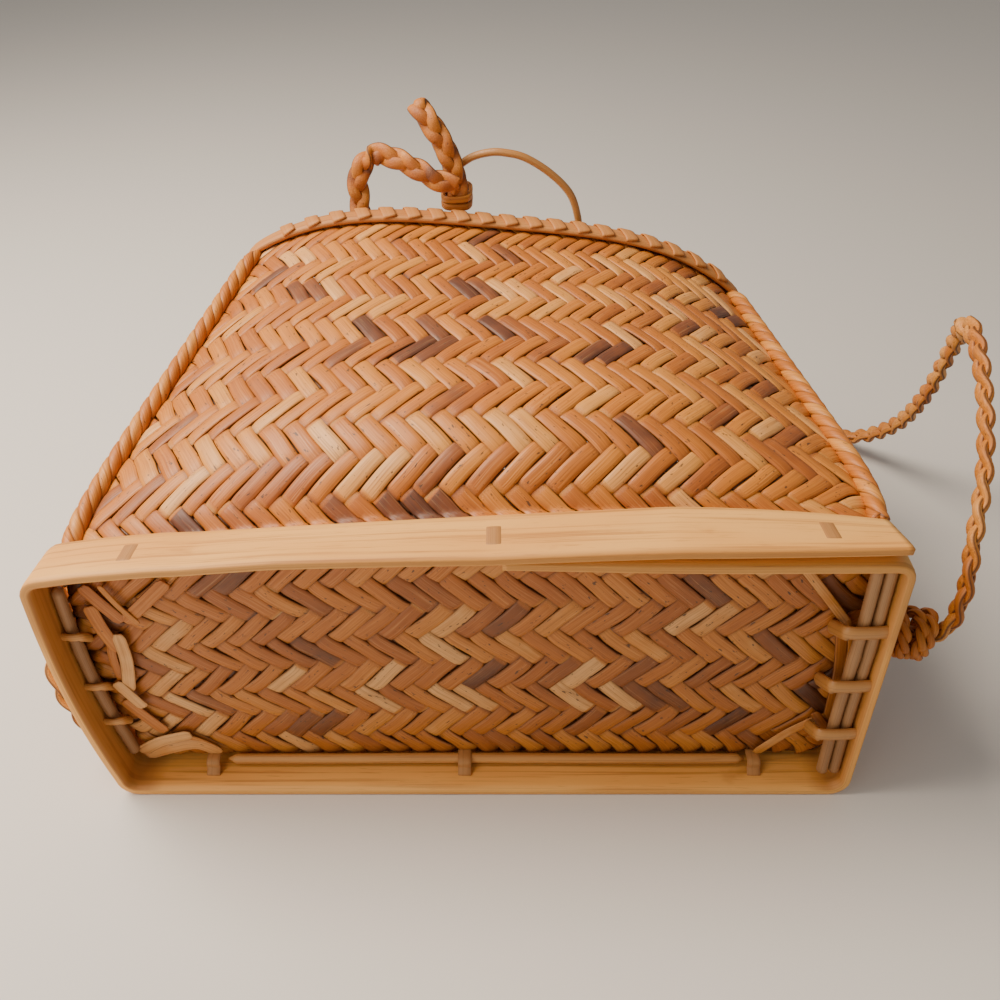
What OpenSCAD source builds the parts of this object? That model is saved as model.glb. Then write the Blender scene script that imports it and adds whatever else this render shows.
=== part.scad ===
// Small rucksack basket of split rattan, lying on its back panel.
// +X is to the right, +Y runs from the base to the mouth and +Z is up.
// The origin is the middle of the foot ring's back strip, on the surface that the basket lies on.
// Lengths are in millimetres. A depth t is measured along Y from the free edge of the foot ring.

/* [Foot ring] */
// Outside width of the ring along its back strip
ring_w = 252; // [200:1:320]
// Outside height of the ring at its left end
ring_left_h = 97; // [85:1:130]
// Outside height of the ring at its right end
ring_right_h = 111; // [85:1:130]
// How far the left strip leans out
ring_left_lean = 7; // [0:0.5:12]
// How far the left strip bows out in its middle
ring_left_bow = 3.4; // [0:0.2:6]
// How far the right strip leans in
ring_right_lean = 3.5; // [0:0.5:12]
// How far the front strip bows out in its middle
ring_bow = 8; // [2:0.5:14]
// Width of the strip
ring_depth = 20.4; // [18:0.1:26]
// Thickness of the strip
ring_t = 3; // [2.4:0.1:4]
// Outside radius of the ring's four bends
ring_bend_r = 7; // [5:0.5:10]
// How far the inner end of the strip runs back under the outer end
lap_l = 108; // [60:1:112]
// Saw gap between the two lapped layers
lap_gap = 0.4; // [0.2:0.1:0.8]

/* [Woven body] */
// Length from the ring's free edge to the top of the wall
basket_l = 172; // [150:1:240]
// How far the woven base is set back inside the ring
base_recess = 14; // [12:0.5:15]
// Thickness of the weave, up to the low lines between the strands
wall_t = 2.4; // [1.8:0.1:3]
// How far a strand's crown stands above the low lines
relief = 1; // [0.4:0.1:1.2]
// Strands across a long wall, apart from its corners
long_strands = 25; // [17:1:31]
// Strands across an end wall, apart from its corners
end_strands = 10; // [6:1:14]
// Pairs of twill rows up the wall
row_pairs = 6; // [4:1:7]
// Width of the front wall at the mouth, between its ribs
mouth_front_w = 195; // [150:1:240]
// How far the front wall sits to the right at the mouth
mouth_front_shift = 4; // [0:0.5:8]
// Width of the back wall at the mouth, between its ribs
mouth_back_w = 206; // [150:1:240]
// Height of the left front rib at the mouth
mouth_left_h = 128.5; // [105:0.5:140]
// Height of the right front rib at the mouth
mouth_right_h = 110.5; // [100:0.5:140]
// Height of the back ribs at the mouth
mouth_back_h = 8; // [7:0.5:14]
// How far the front wall arches at the mouth
mouth_front_bulge = 15.5; // [8:0.5:26]
// How square the front wall's arch is at the mouth: 2 is a plain arch
mouth_squareness = 3.6; // [2:0.1:5]
// How far the end walls arch at the mouth
mouth_end_bulge = 10; // [4:1:16]
// How far the back wall sags at the mouth
mouth_back_bulge = 1.5; // [0:0.5:2]
// How far the front wall swells just above the ring
front_belly = 18; // [8:1:26]
// How far the front ribs swell just above the ring
rib_belly = 4.6; // [0:0.2:6]
// How far the end walls swell just above the ring
end_belly = 5; // [0:1:9]
// Reach of a wall's round corner
corner_reach = 8; // [6:0.5:10]

/* [Corner ribs] */
// Radius of a rib's lumps
rib_r = 3.5; // [2.8:0.1:3.6]
// Radius of a rib between its lumps
rib_neck_r = 2.6; // [2:0.1:2.7]
// Distance from one lump to the next
rib_pitch = 11; // [8:0.5:14]

/* [Rim] */
// Width of the rim's hoops
hoop_h = 9; // [7:0.5:12]
// Thickness of the rim's hoops
hoop_t = 3; // [1.6:0.1:3.4]
// Turns of the binding on a long wall
long_turns = 19; // [7:1:21]
// Turns of the binding on an end wall
end_turns = 9; // [3:1:9]
// Width of the binding cane
turn_w = 4.5; // [3:0.5:5]
// Thickness of the binding cane
turn_t = 1; // [0.7:0.1:1.2]

/* [Base canes and lashings] */
// Radius of the round canes beside the end strips
end_cane_r = 1.9; // [1.5:0.1:2.2]
// Radius of the cane along the back strip
back_cane_r = 1.6; // [1.2:0.1:1.9]
// Length of the cane along the back strip
back_cane_l = 182; // [140:1:190]
// Width of the stitches on the long strips
long_stitch_w = 5.4; // [4:0.1:6.5]
// Width of the stitches on the left strip
left_stitch_w = 3.4; // [2.6:0.1:5]
// Width of the stitches on the right strip
right_stitch_w = 4.4; // [2.6:0.1:5]
// How far the right strip's stitches lie inside the ring's free edge
right_stitch_inset = 1.6; // [1:0.1:3]
// Thickness of the stitch cane
stitch_t = 1; // [0.7:0.1:1.1]
// Width of the loose strands at the ends of the base
edge_strand_w = 5; // [3.5:0.5:6.5]
// Thickness of the loose strands
edge_strand_t = 1; // [0.7:0.1:1.3]

/* [Straps and tie] */
// Width of a shoulder strap's plait
strap_w = 10; // [8:0.5:12]
// Thickness of a shoulder strap's plait
strap_t = 6; // [5:0.5:7]
// Length of plait from one crossing to the same crossing again
plait_pitch = 36; // [28:1:44]
// Radius of the cord in the turns of a strap's knot
knot_cord_r = 2; // [1.5:0.1:2.4]
// How far the right strap's knot stands off the wall
knot_stand = 15; // [6:1:18]
// Width of the tie's plait
tie_w = 10; // [8:0.5:11]
// Thickness of the tie's plait
tie_t = 5; // [4:0.5:5.5]
// Radius of the tie's thin cane
tie_cane_r = 1.5; // [1.2:0.1:1.8]

/* [Fits] */
// Clearance between pieces that bear on each other
fit = 0.3; // [0.2:0.05:0.4]

/* [Hidden] */
$fn = 48;
mid_depth = ring_depth / 2;

// Plain helpers
function mix(a, b, k) = a + (b - a) * k;
function unit(v) = v / norm(v);
function arc(centre, r, from, to, steps) =
    [for (i = [0:steps]) let (a = mix(from, to, i / steps)) centre + r * [cos(a), sin(a)]];
function arch(s, power = 2) = 1 - pow(abs(2 * s - 1), power);

// Foot ring, seen along Y in the XZ plane: left edge, right edge and front edge of the outside face
function ring_left_x(z) =
    let (s = z / ring_left_h)
    -ring_w / 2 - ring_left_lean * s - ring_left_bow * arch(s);
function ring_right_x(z) = ring_w / 2 - ring_right_lean * z / ring_right_h;
front_x0 = ring_left_x(ring_left_h);
front_x1 = ring_right_x(ring_right_h);
function ring_front_z(x) =
    let (s = (x - front_x0) / (front_x1 - front_x0))
    mix(ring_left_h, ring_right_h, s) + ring_bow * arch(s);
bow_steps = 20;
side_steps = 8;

// The ring's outline moved inwards by d, anticlockwise from the left end of the back strip
function ring_outline(d) =
    let (r = max(ring_bend_r - d, 0.5),
         low = d + r,
         left = ring_left_x(low) + low,
         right = ring_right_x(low) - low,
         top_left = ring_left_x(ring_left_h - low) + low,
         top_right = ring_right_x(ring_right_h - low) - low)
    concat(
        arc([left, low], r, 180, 270, 6),
        arc([right, low], r, 270, 360, 6),
        arc([top_right, ring_front_z(top_right) - low], r, 0, 90, 6),
        [for (i = [1:bow_steps - 1])
            let (x = mix(top_right, top_left, i / bow_steps))
            [x, ring_front_z(x) - d]],
        arc([top_left, ring_front_z(top_left) - low], r, 90, 180, 6),
        [for (i = [1:side_steps - 1])
            let (z = mix(ring_front_z(top_left) - low, low, i / side_steps))
            [ring_left_x(z) + d, z]]);

// A band under the front strip, from depth n0 to depth n1 below its outside face
function front_band(x_from, x_to, n0, n1) = concat(
    [for (i = [0:bow_steps])
        let (x = mix(x_from, x_to, i / bow_steps))
        [x, ring_front_z(x) - n0]],
    [for (i = [bow_steps:-1:0])
        let (x = mix(x_from, x_to, i / bow_steps))
        [x, ring_front_z(x) - n1]]);
lap_depth = base_recess - relief - 2 * fit;
lap_end_x = front_x1 - lap_l;
lap_n = 2 * ring_t + lap_gap;

// Section of the woven body at depth t: corners in the order back left, back right, front right, front left
seat = ring_t + fit + relief;
collar_t = basket_l - hoop_h;
levels = 6 * row_pairs;
edge_round = 1.5;
level_step = (basket_l - base_recess - edge_round) / (levels + 1);
shoulder_t = ring_depth + 0.85 * level_step;
shoulder_run = 0.09;
seat_corners = [[-ring_w / 2 + seat, seat],
                [ring_w / 2 - seat, seat],
                [front_x1 - seat, ring_right_h - seat],
                [front_x0 + seat, ring_left_h - seat]];
mouth_corners = [[-mouth_back_w / 2, mouth_back_h],
                 [mouth_back_w / 2, mouth_back_h],
                 [mouth_front_shift + mouth_front_w / 2, mouth_right_h],
                 [mouth_front_shift - mouth_front_w / 2, mouth_left_h]];
// The front corners also swell, along the line from the opposite back corner
belly_ways = [[0, 0], [0, 0], unit(seat_corners[2] - seat_corners[0]), unit(seat_corners[3] - seat_corners[1])];
function growth(t) = min(max((t - shoulder_t) / (collar_t - shoulder_t), 0), 1);
function swell(k) = (1 - k) * (1 - exp(-k / shoulder_run));
function corners(t) =
    let (k = growth(t))
    [for (i = [0:3]) mix(seat_corners[i], mouth_corners[i], k) + rib_belly * swell(k) * belly_ways[i]];
function bulges(t) =
    let (k = growth(t), belly = end_belly * swell(k))
    [mouth_back_bulge * k,
     mouth_end_bulge * k + belly,
     mix(ring_bow, mouth_front_bulge, k) + front_belly * swell(k),
     mix(ring_left_bow, mouth_end_bulge, k) + belly];

function squareness(t) = [2, 2, mix(2, mouth_squareness, growth(t)), 2];

// One wall between corners a and b, which stops short of both, and its heading at its start, where side is 1,
// or at its end, where side is -1
function wall_point(a, b, bulge, power, s) =
    let (d = unit(b - a))
    mix(a + d * corner_reach, b - d * corner_reach, s) + [d[1], -d[0]] * bulge * arch(s, power);
function wall_heading(a, b, bulge, power, side) =
    let (d = unit(b - a))
    unit(d + side * [d[1], -d[0]] * 2 * power * bulge / (norm(b - a) - 2 * corner_reach));
// The round corner from a point p with heading d to a point q with heading e
function corner_point(p, d, q, e, s) =
    let (r = 0.38 * norm(q - p))
    pow(1 - s, 3) * p + 3 * s * pow(1 - s, 2) * (p + r * d) + 3 * s * s * (1 - s) * (q - r * e) + pow(s, 3) * q;

// Places round the body are counted in strands u, from the left end of the back wall
strand_counts = [long_strands, end_strands, long_strands, end_strands];
pair_strands = long_strands + end_strands + 2;
strands = 2 * pair_strands;
function wall_start(i) = floor(i / 2) * pair_strands + (i % 2) * (long_strands + 1);
function wall_of(w) = w < wall_start(1) ? 0 : w < wall_start(2) ? 1 : w < wall_start(3) ? 2 : 3;
function section(u, t) =
    let (w = u - strands * floor(u / strands),
         i = wall_of(w),
         s = w - wall_start(i),
         n = strand_counts[i],
         c = corners(t),
         b = bulges(t),
         f = squareness(t),
         j = (i + 1) % 4,
         k = (i + 2) % 4)
    s <= n ? wall_point(c[i], c[j], b[i], f[i], s / n)
           : corner_point(wall_point(c[i], c[j], b[i], f[i], 1), wall_heading(c[i], c[j], b[i], f[i], -1),
                          wall_point(c[j], c[k], b[j], f[j], 0), wall_heading(c[j], c[k], b[j], f[j], 1), s - n);
function on_corner(u) =
    let (w = u - strands * floor(u / strands), i = wall_of(w))
    w - wall_start(i) > strand_counts[i];
function outward(u, t) =
    let (e = unit(section(u + 0.25, t) - section(u - 0.25, t)))
    [e[1], -e[0]];
function body_point(u, t, h) =
    let (p = section(u, t) + h * outward(u, t))
    [p[0], t - mid_depth, p[1]];

// Twill: slanting strands cross at the lattice points of each level v, three levels to a row
function level_depth(v) = base_recess + edge_round + level_step * (v + 1);
function lattice(p, q) =
    let (v = q - p, k = p + floor(v / 2))
    (v + 1) * strands + k - strands * floor(k / strands);
function rising_float(i, b) =
    [[i, i + b], [i + 1, i + b], [i + 1, i + b + 1], [i + 1, i + b + 3], [i, i + b + 3], [i, i + b + 2]];
function falling_float(j, b) =
    let (p = j - b - 5)
    [[p, j], [p + 2, j], [p + 3, j], [p + 3, j + 1], [p + 1, j + 1], [p, j + 1]];
floats = [for (k = [0:row_pairs - 1], i = [0:strands - 1], rising = [1, 0])
    rising ? rising_float(i, 6 * k) : falling_float(i, 6 * k)];
function float_crown(f) =
    let (u = (f[0][0] + f[0][1] + f[3][0] + f[3][1]) / 4,
         v = (f[0][1] - f[0][0] + f[3][1] - f[3][0]) / 2)
    body_point(u, level_depth(v), on_corner(u) ? 0 : relief);

// Base weave: a grid of half strands, whose edge follows the wall's foot
across = 2 * (long_strands + 1);
upright = 2 * (end_strands + 1);
base_inset = -1.2;
function foot_edge(u) = let (p = body_point(u, base_recess, base_inset)) [p[0], p[2]];
function back_edge(a) = foot_edge(a / 2 - 0.5);
function right_edge(b) = foot_edge(long_strands + 0.5 + b / 2);
function front_edge(a) = foot_edge(pair_strands + long_strands + 0.5 - a / 2);
function left_edge(b) = foot_edge(strands - 0.5 - b / 2);
// A patch stretched between the four edges
function base_place(a, b) =
    let (s = a / across, r = b / upright)
    mix(back_edge(a), front_edge(a), r) + mix(left_edge(b), right_edge(b), s)
    - mix(mix(back_edge(0), back_edge(across), s), mix(front_edge(0), front_edge(across), s), r);
function base_point(a, b) =
    let (p = base_place(a, b),
         inside = a > 0 && b > 0 && a < across && b < upright,
         crown = inside && (a + b) % 2 == 1)
    [p[0], base_recess - (crown ? relief : 0) - mid_depth, p[1]];
function rising_row(b) = b % 6 < 3;
function slash_split(a, b) = (a + b) % 2 == 0
    ? rising_row(b) || rising_row(b + 1)
    : rising_row(b) && rising_row(b + 1);

// Tables of the body's vertices, in the order that its faces count them
lattice_points = [for (v = [-1:levels], k = [0:strands - 1])
    body_point(k + (v % 2 == 0 ? 0 : 0.5), level_depth(v), 0)];
crown_points = [for (f = floats) float_crown(f)];
base_points = [for (b = [0:upright], a = [0:across]) base_point(a, b)];
inner_depths = [base_recess + wall_t, shoulder_t, shoulder_t + 10, mix(shoulder_t, collar_t, 0.26),
                collar_t, basket_l];
inner_points = [for (t = inner_depths, k = [0:strands - 1]) body_point(k, t, -wall_t)];
floor_middle = [[0, base_recess + wall_t - mid_depth, (ring_left_h + ring_right_h) / 4]];
crown_0 = len(lattice_points);
base_0 = crown_0 + len(crown_points);
inner_0 = base_0 + len(base_points);
middle_0 = inner_0 + len(inner_points);
function base_index(a, b) = base_0 + b * (across + 1) + a;
function inner_index(j, k) = inner_0 + j * strands + (k + strands) % strands;

// The base grid's rim as one loop, in step with half strands from u = -0.5
base_loop = concat(
    [for (a = [0:across - 1]) base_index(a, 0)],
    [for (b = [0:upright - 1]) base_index(across, b)],
    [for (a = [across:-1:1]) base_index(a, upright)],
    [for (b = [upright:-1:1]) base_index(0, b)]);

module woven_body() {
    last = len(inner_depths) - 1;
    float_faces = [for (n = [0:len(floats) - 1], i = [0:5])
        [lattice(floats[n][i][0], floats[n][i][1]),
         lattice(floats[n][(i + 1) % 6][0], floats[n][(i + 1) % 6][1]),
         crown_0 + n]];
    foot_faces = [for (i = [0:strands - 1]) [lattice(i, i - 1), lattice(i + 1, i), lattice(i, i)]];
    top_faces = [for (i = [0:strands - 1])
        [lattice(i, i + levels), lattice(i + 1, i + levels), lattice(i + 1, i + 1 + levels)]];
    skirt_faces = [for (k = [0:strands - 1])
        let (w0 = lattice(k, k - 1),
             w1 = lattice(k + 1, k),
             b0 = base_loop[2 * k],
             b1 = base_loop[2 * k + 1],
             b2 = base_loop[(2 * k + 2) % len(base_loop)])
        each [[b0, b1, w0], [b1, w1, w0], [b1, b2, w1]]];
    base_faces = [for (b = [0:upright - 1], a = [0:across - 1])
        let (p = base_index(a, b),
             q = base_index(a + 1, b),
             r = base_index(a + 1, b + 1),
             s = base_index(a, b + 1))
        each slash_split(a, b) ? [[p, r, q], [p, s, r]] : [[p, s, q], [q, s, r]]];
    ledge_faces = [for (k = [0:strands - 1])
        let (o0 = (levels + 1) * strands + k,
             o1 = (levels + 1) * strands + (k + 1) % strands)
        each [[o0, o1, inner_index(last, k + 1)], [o0, inner_index(last, k + 1), inner_index(last, k)]]];
    inner_faces = [for (j = [0:last - 1], k = [0:strands - 1])
        each [[inner_index(j, k), inner_index(j + 1, k), inner_index(j + 1, k + 1)],
              [inner_index(j, k), inner_index(j + 1, k + 1), inner_index(j, k + 1)]]];
    floor_faces = [for (k = [0:strands - 1]) [inner_index(0, k), inner_index(0, k + 1), middle_0]];
    color("peru")
        polyhedron(
            points = concat(lattice_points, crown_points, base_points, inner_points, floor_middle),
            faces = concat(float_faces, foot_faces, top_faces, skirt_faces, base_faces,
                           ledge_faces, inner_faces, floor_faces));
}

// Stitches: a profile in n, the way in from a strip's outside face, and t. It lies let into the outside
// face, goes through the strip at t0, over the canes at over_t and down to the base.
stitch_t0 = 5.6;
stitch_run = 9.4;
stitch_sink = 0.2;
slot_clear = 0.1;
cane_t = base_recess - relief - fit - end_cane_r;
right_cane_t = right_stitch_inset + stitch_t + fit + end_cane_r;
stitch_end_t = base_recess - relief - fit;
long_stitch_reach = 2 * back_cane_r + 2 * fit;
left_stitch_reach = 2 * end_cane_r + 2 * fit;
right_stitch_reach = 4 * end_cane_r + 3 * fit;
function stitch_profile(face_n, reach, t0, over_t) =
    let (far_n = face_n + reach,
         t1 = t0 + stitch_run)
    [[stitch_sink, t0],
     [face_n + fit, t0],
     [far_n, over_t - stitch_t],
     [far_n + stitch_t, over_t],
     [far_n + stitch_t, stitch_end_t],
     [far_n, stitch_end_t],
     [far_n, over_t],
     [face_n + fit, t0 + stitch_t],
     [stitch_sink + stitch_t, t0 + stitch_t],
     [stitch_sink + stitch_t, t1],
     [stitch_sink, t1]];

// Sets a profile on a strip: at is a point of the outside face in X and Z, turn is the way in
module on_strip(at, turn) {
    multmatrix([[cos(turn), 0, -sin(turn), at[0]],
                [0, 1, 0, -mid_depth],
                [sin(turn), 0, cos(turn), at[1]],
                [0, 0, 0, 1]])
        children();
}
module stitch(width, face_n, reach, t0, over_t) {
    linear_extrude(height = width, center = true)
        polygon(stitch_profile(face_n, reach, t0, over_t));
}
module cane_stitch(width, face_n, reach) {
    stitch(width, face_n, reach, stitch_t0, cane_t - end_cane_r - fit);
}
module stitch_slot(width, t0) {
    linear_extrude(height = width + 2 * slot_clear, center = true) {
        translate([-1, t0 - slot_clear])
            square([1 + stitch_sink + stitch_t + slot_clear, stitch_run + 2 * slot_clear]);
        translate([-1, t0 - slot_clear])
            square([lap_n + 2, stitch_t + 2 * slot_clear]);
    }
}
function left_turn(z) = atan2(ring_left_x(z - 0.5) - ring_left_x(z + 0.5), 1);
right_turn = 180 + atan2(ring_right_lean, ring_right_h);
function front_turn(x) = atan2(-1, ring_front_z(x + 0.5) - ring_front_z(x - 0.5));
// Places of the stitches as shares of a strip's length
front_stitch_x = ring_w * [-0.42, 0.012, 0.393];
back_stitch_x = ring_w * [-0.38, -0.03, 0.373];
left_stitch_z = ring_left_h * [0.73, 0.485, 0.3];
right_stitch_z = ring_right_h * [0.69, 0.47, 0.255];
module at_front_stitches() {
    for (x = front_stitch_x) on_strip([x, ring_front_z(x)], front_turn(x)) children();
}
module at_back_stitches() {
    for (x = back_stitch_x) on_strip([x, 0], 90) children();
}
module at_left_stitches() {
    for (z = left_stitch_z) on_strip([ring_left_x(z), z], left_turn(z)) children();
}
module at_right_stitches() {
    for (z = right_stitch_z) on_strip([ring_right_x(z), z], right_turn) children();
}

module foot_ring() {
    color("wheat")
    difference() {
        union() {
            rotate([90, 0, 0]) translate([0, 0, -mid_depth])
                linear_extrude(height = ring_depth)
                    difference() {
                        polygon(ring_outline(0));
                        polygon(ring_outline(ring_t));
                    }
            rotate([90, 0, 0]) translate([0, 0, mid_depth - lap_depth])
                linear_extrude(height = lap_depth)
                    polygon(front_band(front_x1 - ring_t, lap_end_x, ring_t - 0.1, lap_n));
        }
        rotate([90, 0, 0]) translate([0, 0, mid_depth - lap_depth])
            linear_extrude(height = lap_depth + 1)
                polygon(front_band(front_x1 + ring_t, lap_end_x - 1, ring_t, ring_t + lap_gap));
        at_front_stitches() stitch_slot(long_stitch_w, stitch_t0);
        at_back_stitches() stitch_slot(long_stitch_w, stitch_t0);
        at_left_stitches() stitch_slot(left_stitch_w, stitch_t0);
        at_right_stitches() stitch_slot(right_stitch_w, right_stitch_inset);
    }
}

module front_lashings() {
    color("sienna")
    for (x = front_stitch_x)
        on_strip([x, ring_front_z(x)], front_turn(x))
            cane_stitch(long_stitch_w, x > lap_end_x ? lap_n : ring_t, long_stitch_reach);
}
module back_lashings() {
    color("sienna") at_back_stitches() cane_stitch(long_stitch_w, ring_t, long_stitch_reach);
}
module left_lashings() {
    color("sienna") at_left_stitches() cane_stitch(left_stitch_w, ring_t, left_stitch_reach);
}
module right_lashings() {
    color("sienna")
        at_right_stitches()
            stitch(right_stitch_w, ring_t, right_stitch_reach, right_stitch_inset, right_stitch_inset + stitch_t);
}

// Round canes along the strips, n in from a strip's outside face. The left one bends with its strip, and
// the right ones are held near the ring's free edge.
first_cane_n = ring_t + fit + end_cane_r;
second_cane_n = first_cane_n + fit + 2 * end_cane_r;
cane_clear = ring_bend_r + fit;
cane_steps = 6;
cane_foot = 1.5;
module left_cane() {
    color("tan")
        round_cane([for (i = [0:cane_steps])
            let (z = mix(cane_clear + cane_foot, ring_left_h - cane_clear, i / cane_steps),
                 turn = left_turn(z))
            [ring_left_x(z) + first_cane_n * cos(turn), cane_t, z + first_cane_n * sin(turn)]],
            end_cane_r, [0, 1, 0]);
}
module right_cane(n) {
    along = -atan2(ring_right_lean, ring_right_h);
    color("tan")
        translate([ring_w / 2 - n / cos(along), right_cane_t - mid_depth, 0])
            rotate([0, along, 0])
                translate([0, 0, cane_clear])
                    cylinder(r = end_cane_r, h = ring_right_h - 2 * cane_clear - lap_n);
}
module right_cane_outer() { right_cane(first_cane_n); }
module right_cane_inner() { right_cane(second_cane_n); }
module back_cane() {
    color("chocolate")
        translate([-back_cane_l / 2, base_recess - relief - fit - back_cane_r - mid_depth,
                   ring_t + fit + back_cane_r])
            rotate([0, 90, 0]) cylinder(r = back_cane_r, h = back_cane_l);
}

// Loose strands that lie on the base weave, beside the left stitches and under the right ones, as a path of
// X and Z points with pointed ends. Each row is a share of the ring's height and how far the strand bends in there.
left_edge_n = ring_t + left_stitch_reach + stitch_t + fit + edge_strand_w / 2;
right_edge_n = ring_t + right_stitch_reach - fit - edge_strand_w / 2;
left_edge_path = [for (p = [[0.86, 0], [0.68, 0], [0.515, 0], [0.37, 1.5], [0.25, 6], [0.16, 13]])
    let (z = p[0] * ring_left_h) [ring_left_x(z) + left_edge_n + p[1], z]];
right_edge_path = [for (p = [[0.8, 0], [0.65, 0], [0.54, 0], [0.41, 0], [0.22, 0], [0.14, 3]])
    let (z = p[0] * ring_right_h) [ring_right_x(z) - right_edge_n - p[1], z]];
function path_side(path, i) =
    let (d = unit(path[min(i + 1, len(path) - 1)] - path[max(i - 1, 0)]))
    [-d[1], d[0]];
function path_band(path, width) = concat(
    [for (i = [0:len(path) - 1])
        path[i] + path_side(path, i) * width / 2 * (i == 0 || i == len(path) - 1 ? 0.4 : 1)],
    [for (i = [len(path) - 1:-1:0])
        path[i] - path_side(path, i) * width / 2 * (i == 0 || i == len(path) - 1 ? 0.4 : 1)]);
module edge_strand(path) {
    translate([0, base_recess - relief - fit - mid_depth, 0])
        rotate([90, 0, 0])
            linear_extrude(height = edge_strand_t)
                polygon(path_band(path, edge_strand_w));
}
module left_edge_strand() {
    color("burlywood") edge_strand(left_edge_path);
}
module right_edge_strand() {
    color("burlywood") edge_strand(right_edge_path);
}

// A closed skin over rings of points that all have the same count
module skin(rings) {
    n = len(rings[0]);
    last = len(rings) - 1;
    sides = [for (j = [0:last - 1], i = [0:n - 1])
        let (p = j * n + i, q = j * n + (i + 1) % n, r = q + n, s = p + n)
        each [[p, q, r], [p, r, s]]];
    foot = [[for (i = [n - 1:-1:0]) i]];
    top = [[for (i = [0:n - 1]) last * n + i]];
    polyhedron(points = [for (r = rings) each r], faces = concat(sides, foot, top));
}

// A round cane bent through points [x, t, z]; side is a way that it never runs
cane_sides = 6;
module round_cane(points, r, side) {
    skin([for (i = [0:len(points) - 1])
        let (d = heading(points, i),
             flat = unit(cross(cross(d, side), d)),
             up = cross(flat, d))
        [for (k = [0:cane_sides - 1])
            let (a = 360 * k / cane_sides)
            points[i] + r * (flat * cos(a) + up * sin(a)) - [0, mid_depth, 0]]]);
}

// Corner ribs: lumps that lean along the rib, seated in the round corner i of the wall
rib_sides = 5;
rib_lean = 1.6;
rib_t0 = ring_depth + fit + rib_lean;
rib_t1 = collar_t - fit - rib_lean;
rib_rings = 2 * floor((rib_t1 - rib_t0) / rib_pitch) + 1;
function rib_ring(i, j) =
    let (t = mix(rib_t0, rib_t1, j / (rib_rings - 1)),
         u = wall_start(i) - 0.5,
         out = outward(u, t),
         middle = section(u, t) + out * (rib_r + fit),
         inward = atan2(-out[1], -out[0]),
         r = j % 2 == 0 ? rib_neck_r : rib_r)
    [for (k = [0:rib_sides - 1])
        let (a = 360 * k / rib_sides, b = inward + a)
        [middle[0] + r * cos(b), t + rib_lean * sin(a) - mid_depth, middle[1] + r * sin(b)]];
module rib(i) {
    color("goldenrod") skin([for (j = [0:rib_rings - 1]) rib_ring(i, j)]);
}
module back_left_rib() { rib(0); }
module back_right_rib() { rib(1); }
module front_right_rib() { rib(2); }
module front_left_rib() { rib(3); }

// Rim: flat hoops on both faces of the wall's collar
outer_hoop_h0 = relief + fit;
inner_hoop_h0 = -wall_t - fit - hoop_t;
function hoop_outline(h, step) = [for (u = [0:step:strands - step])
    let (p = body_point(u, basket_l, h)) [p[0], p[2]]];
module hoop(h0, step) {
    translate([0, basket_l - mid_depth, 0])
        rotate([90, 0, 0])
            linear_extrude(height = hoop_h - fit)
                difference() {
                    polygon(hoop_outline(h0 + hoop_t, step));
                    polygon(hoop_outline(h0, step));
                }
}
module rim_outer_hoop() {
    color("burlywood") hoop(outer_hoop_h0, 0.5);
}
module rim_inner_hoop() {
    color("burlywood") hoop(inner_hoop_h0, 1);
}

// Binding turns: a staple of cane over both hoops, square to the wall at place u
turn_in = inner_hoop_h0 - fit;
turn_out = outer_hoop_h0 + hoop_t + fit;
function turn_profile() =
    let (foot = basket_l - hoop_h + 1, top = basket_l + fit, a = turn_in - turn_t, b = turn_out + turn_t)
    [[a, foot], [turn_in, foot], [turn_in, top], [turn_out, top], [turn_out, foot], [b, foot],
     [b, top + turn_t], [a, top + turn_t]];
module binding_turn(u) {
    p = section(u, basket_l);
    n = outward(u, basket_l);
    on_strip(p, atan2(n[1], n[0]))
        linear_extrude(height = turn_w, center = true)
            polygon(turn_profile());
}
module rim_binding() {
    color("tan")
    for (i = [0:3])
        let (turns = i % 2 == 0 ? long_turns : end_turns)
        for (k = [0:turns - 1])
            binding_turn(wall_start(i) + strand_counts[i] * (k + 0.5) / turns);
}

// Plaits: a flat bar swept along a route of points [x, t, z], whose lumps change sides as strands cross
function smooth_route(route, steps) = concat(
    [for (i = [0:len(route) - 2], j = [0:steps - 1])
        let (p0 = route[max(i - 1, 0)],
             p1 = route[i],
             p2 = route[i + 1],
             p3 = route[min(i + 2, len(route) - 1)],
             s = j / steps)
        0.5 * (2 * p1 + (p2 - p0) * s + (2 * p0 - 5 * p1 + 4 * p2 - p3) * s * s
               + (3 * p1 - p0 - 3 * p2 + p3) * s * s * s)],
    [route[len(route) - 1]]);
function heading(points, i) = unit(points[min(i + 1, len(points) - 1)] - points[max(i - 1, 0)]);
function run_to(points, i) = i == 0 ? 0 : run_to(points, i - 1) + norm(points[i] - points[i - 1]);
plait_scallop = 0.12;
plait_lump = 0.16;
function plait_ring(points, i, width, thick, side) =
    let (d = heading(points, i),
         flat = unit(cross(cross(d, side), d)),
         up = cross(flat, d),
         sway = cos(360 * run_to(points, i) / plait_pitch * 2),
         w = width / 2,
         h = thick / 2,
         set = [[-w * (1 + plait_scallop * sway - plait_scallop), 0],
                [-w / 2, -h * (1 - plait_lump * sway - plait_lump)],
                [w / 2, -h * (1 + plait_lump * sway - plait_lump)],
                [w * (1 - plait_scallop * sway - plait_scallop), 0],
                [w / 2, h * (1 - plait_lump * sway - plait_lump)],
                [-w / 2, h * (1 + plait_lump * sway - plait_lump)]])
    [for (c = set) points[i] + flat * c[0] + up * c[1] - [0, mid_depth, 0]];
module plait(route, steps, width, thick, side_0, side_1) {
    points = smooth_route(route, steps);
    last = len(points) - 1;
    skin([for (i = [0:last]) plait_ring(points, i, width, thick, mix(side_0, side_1, i / last))]);
}

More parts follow.
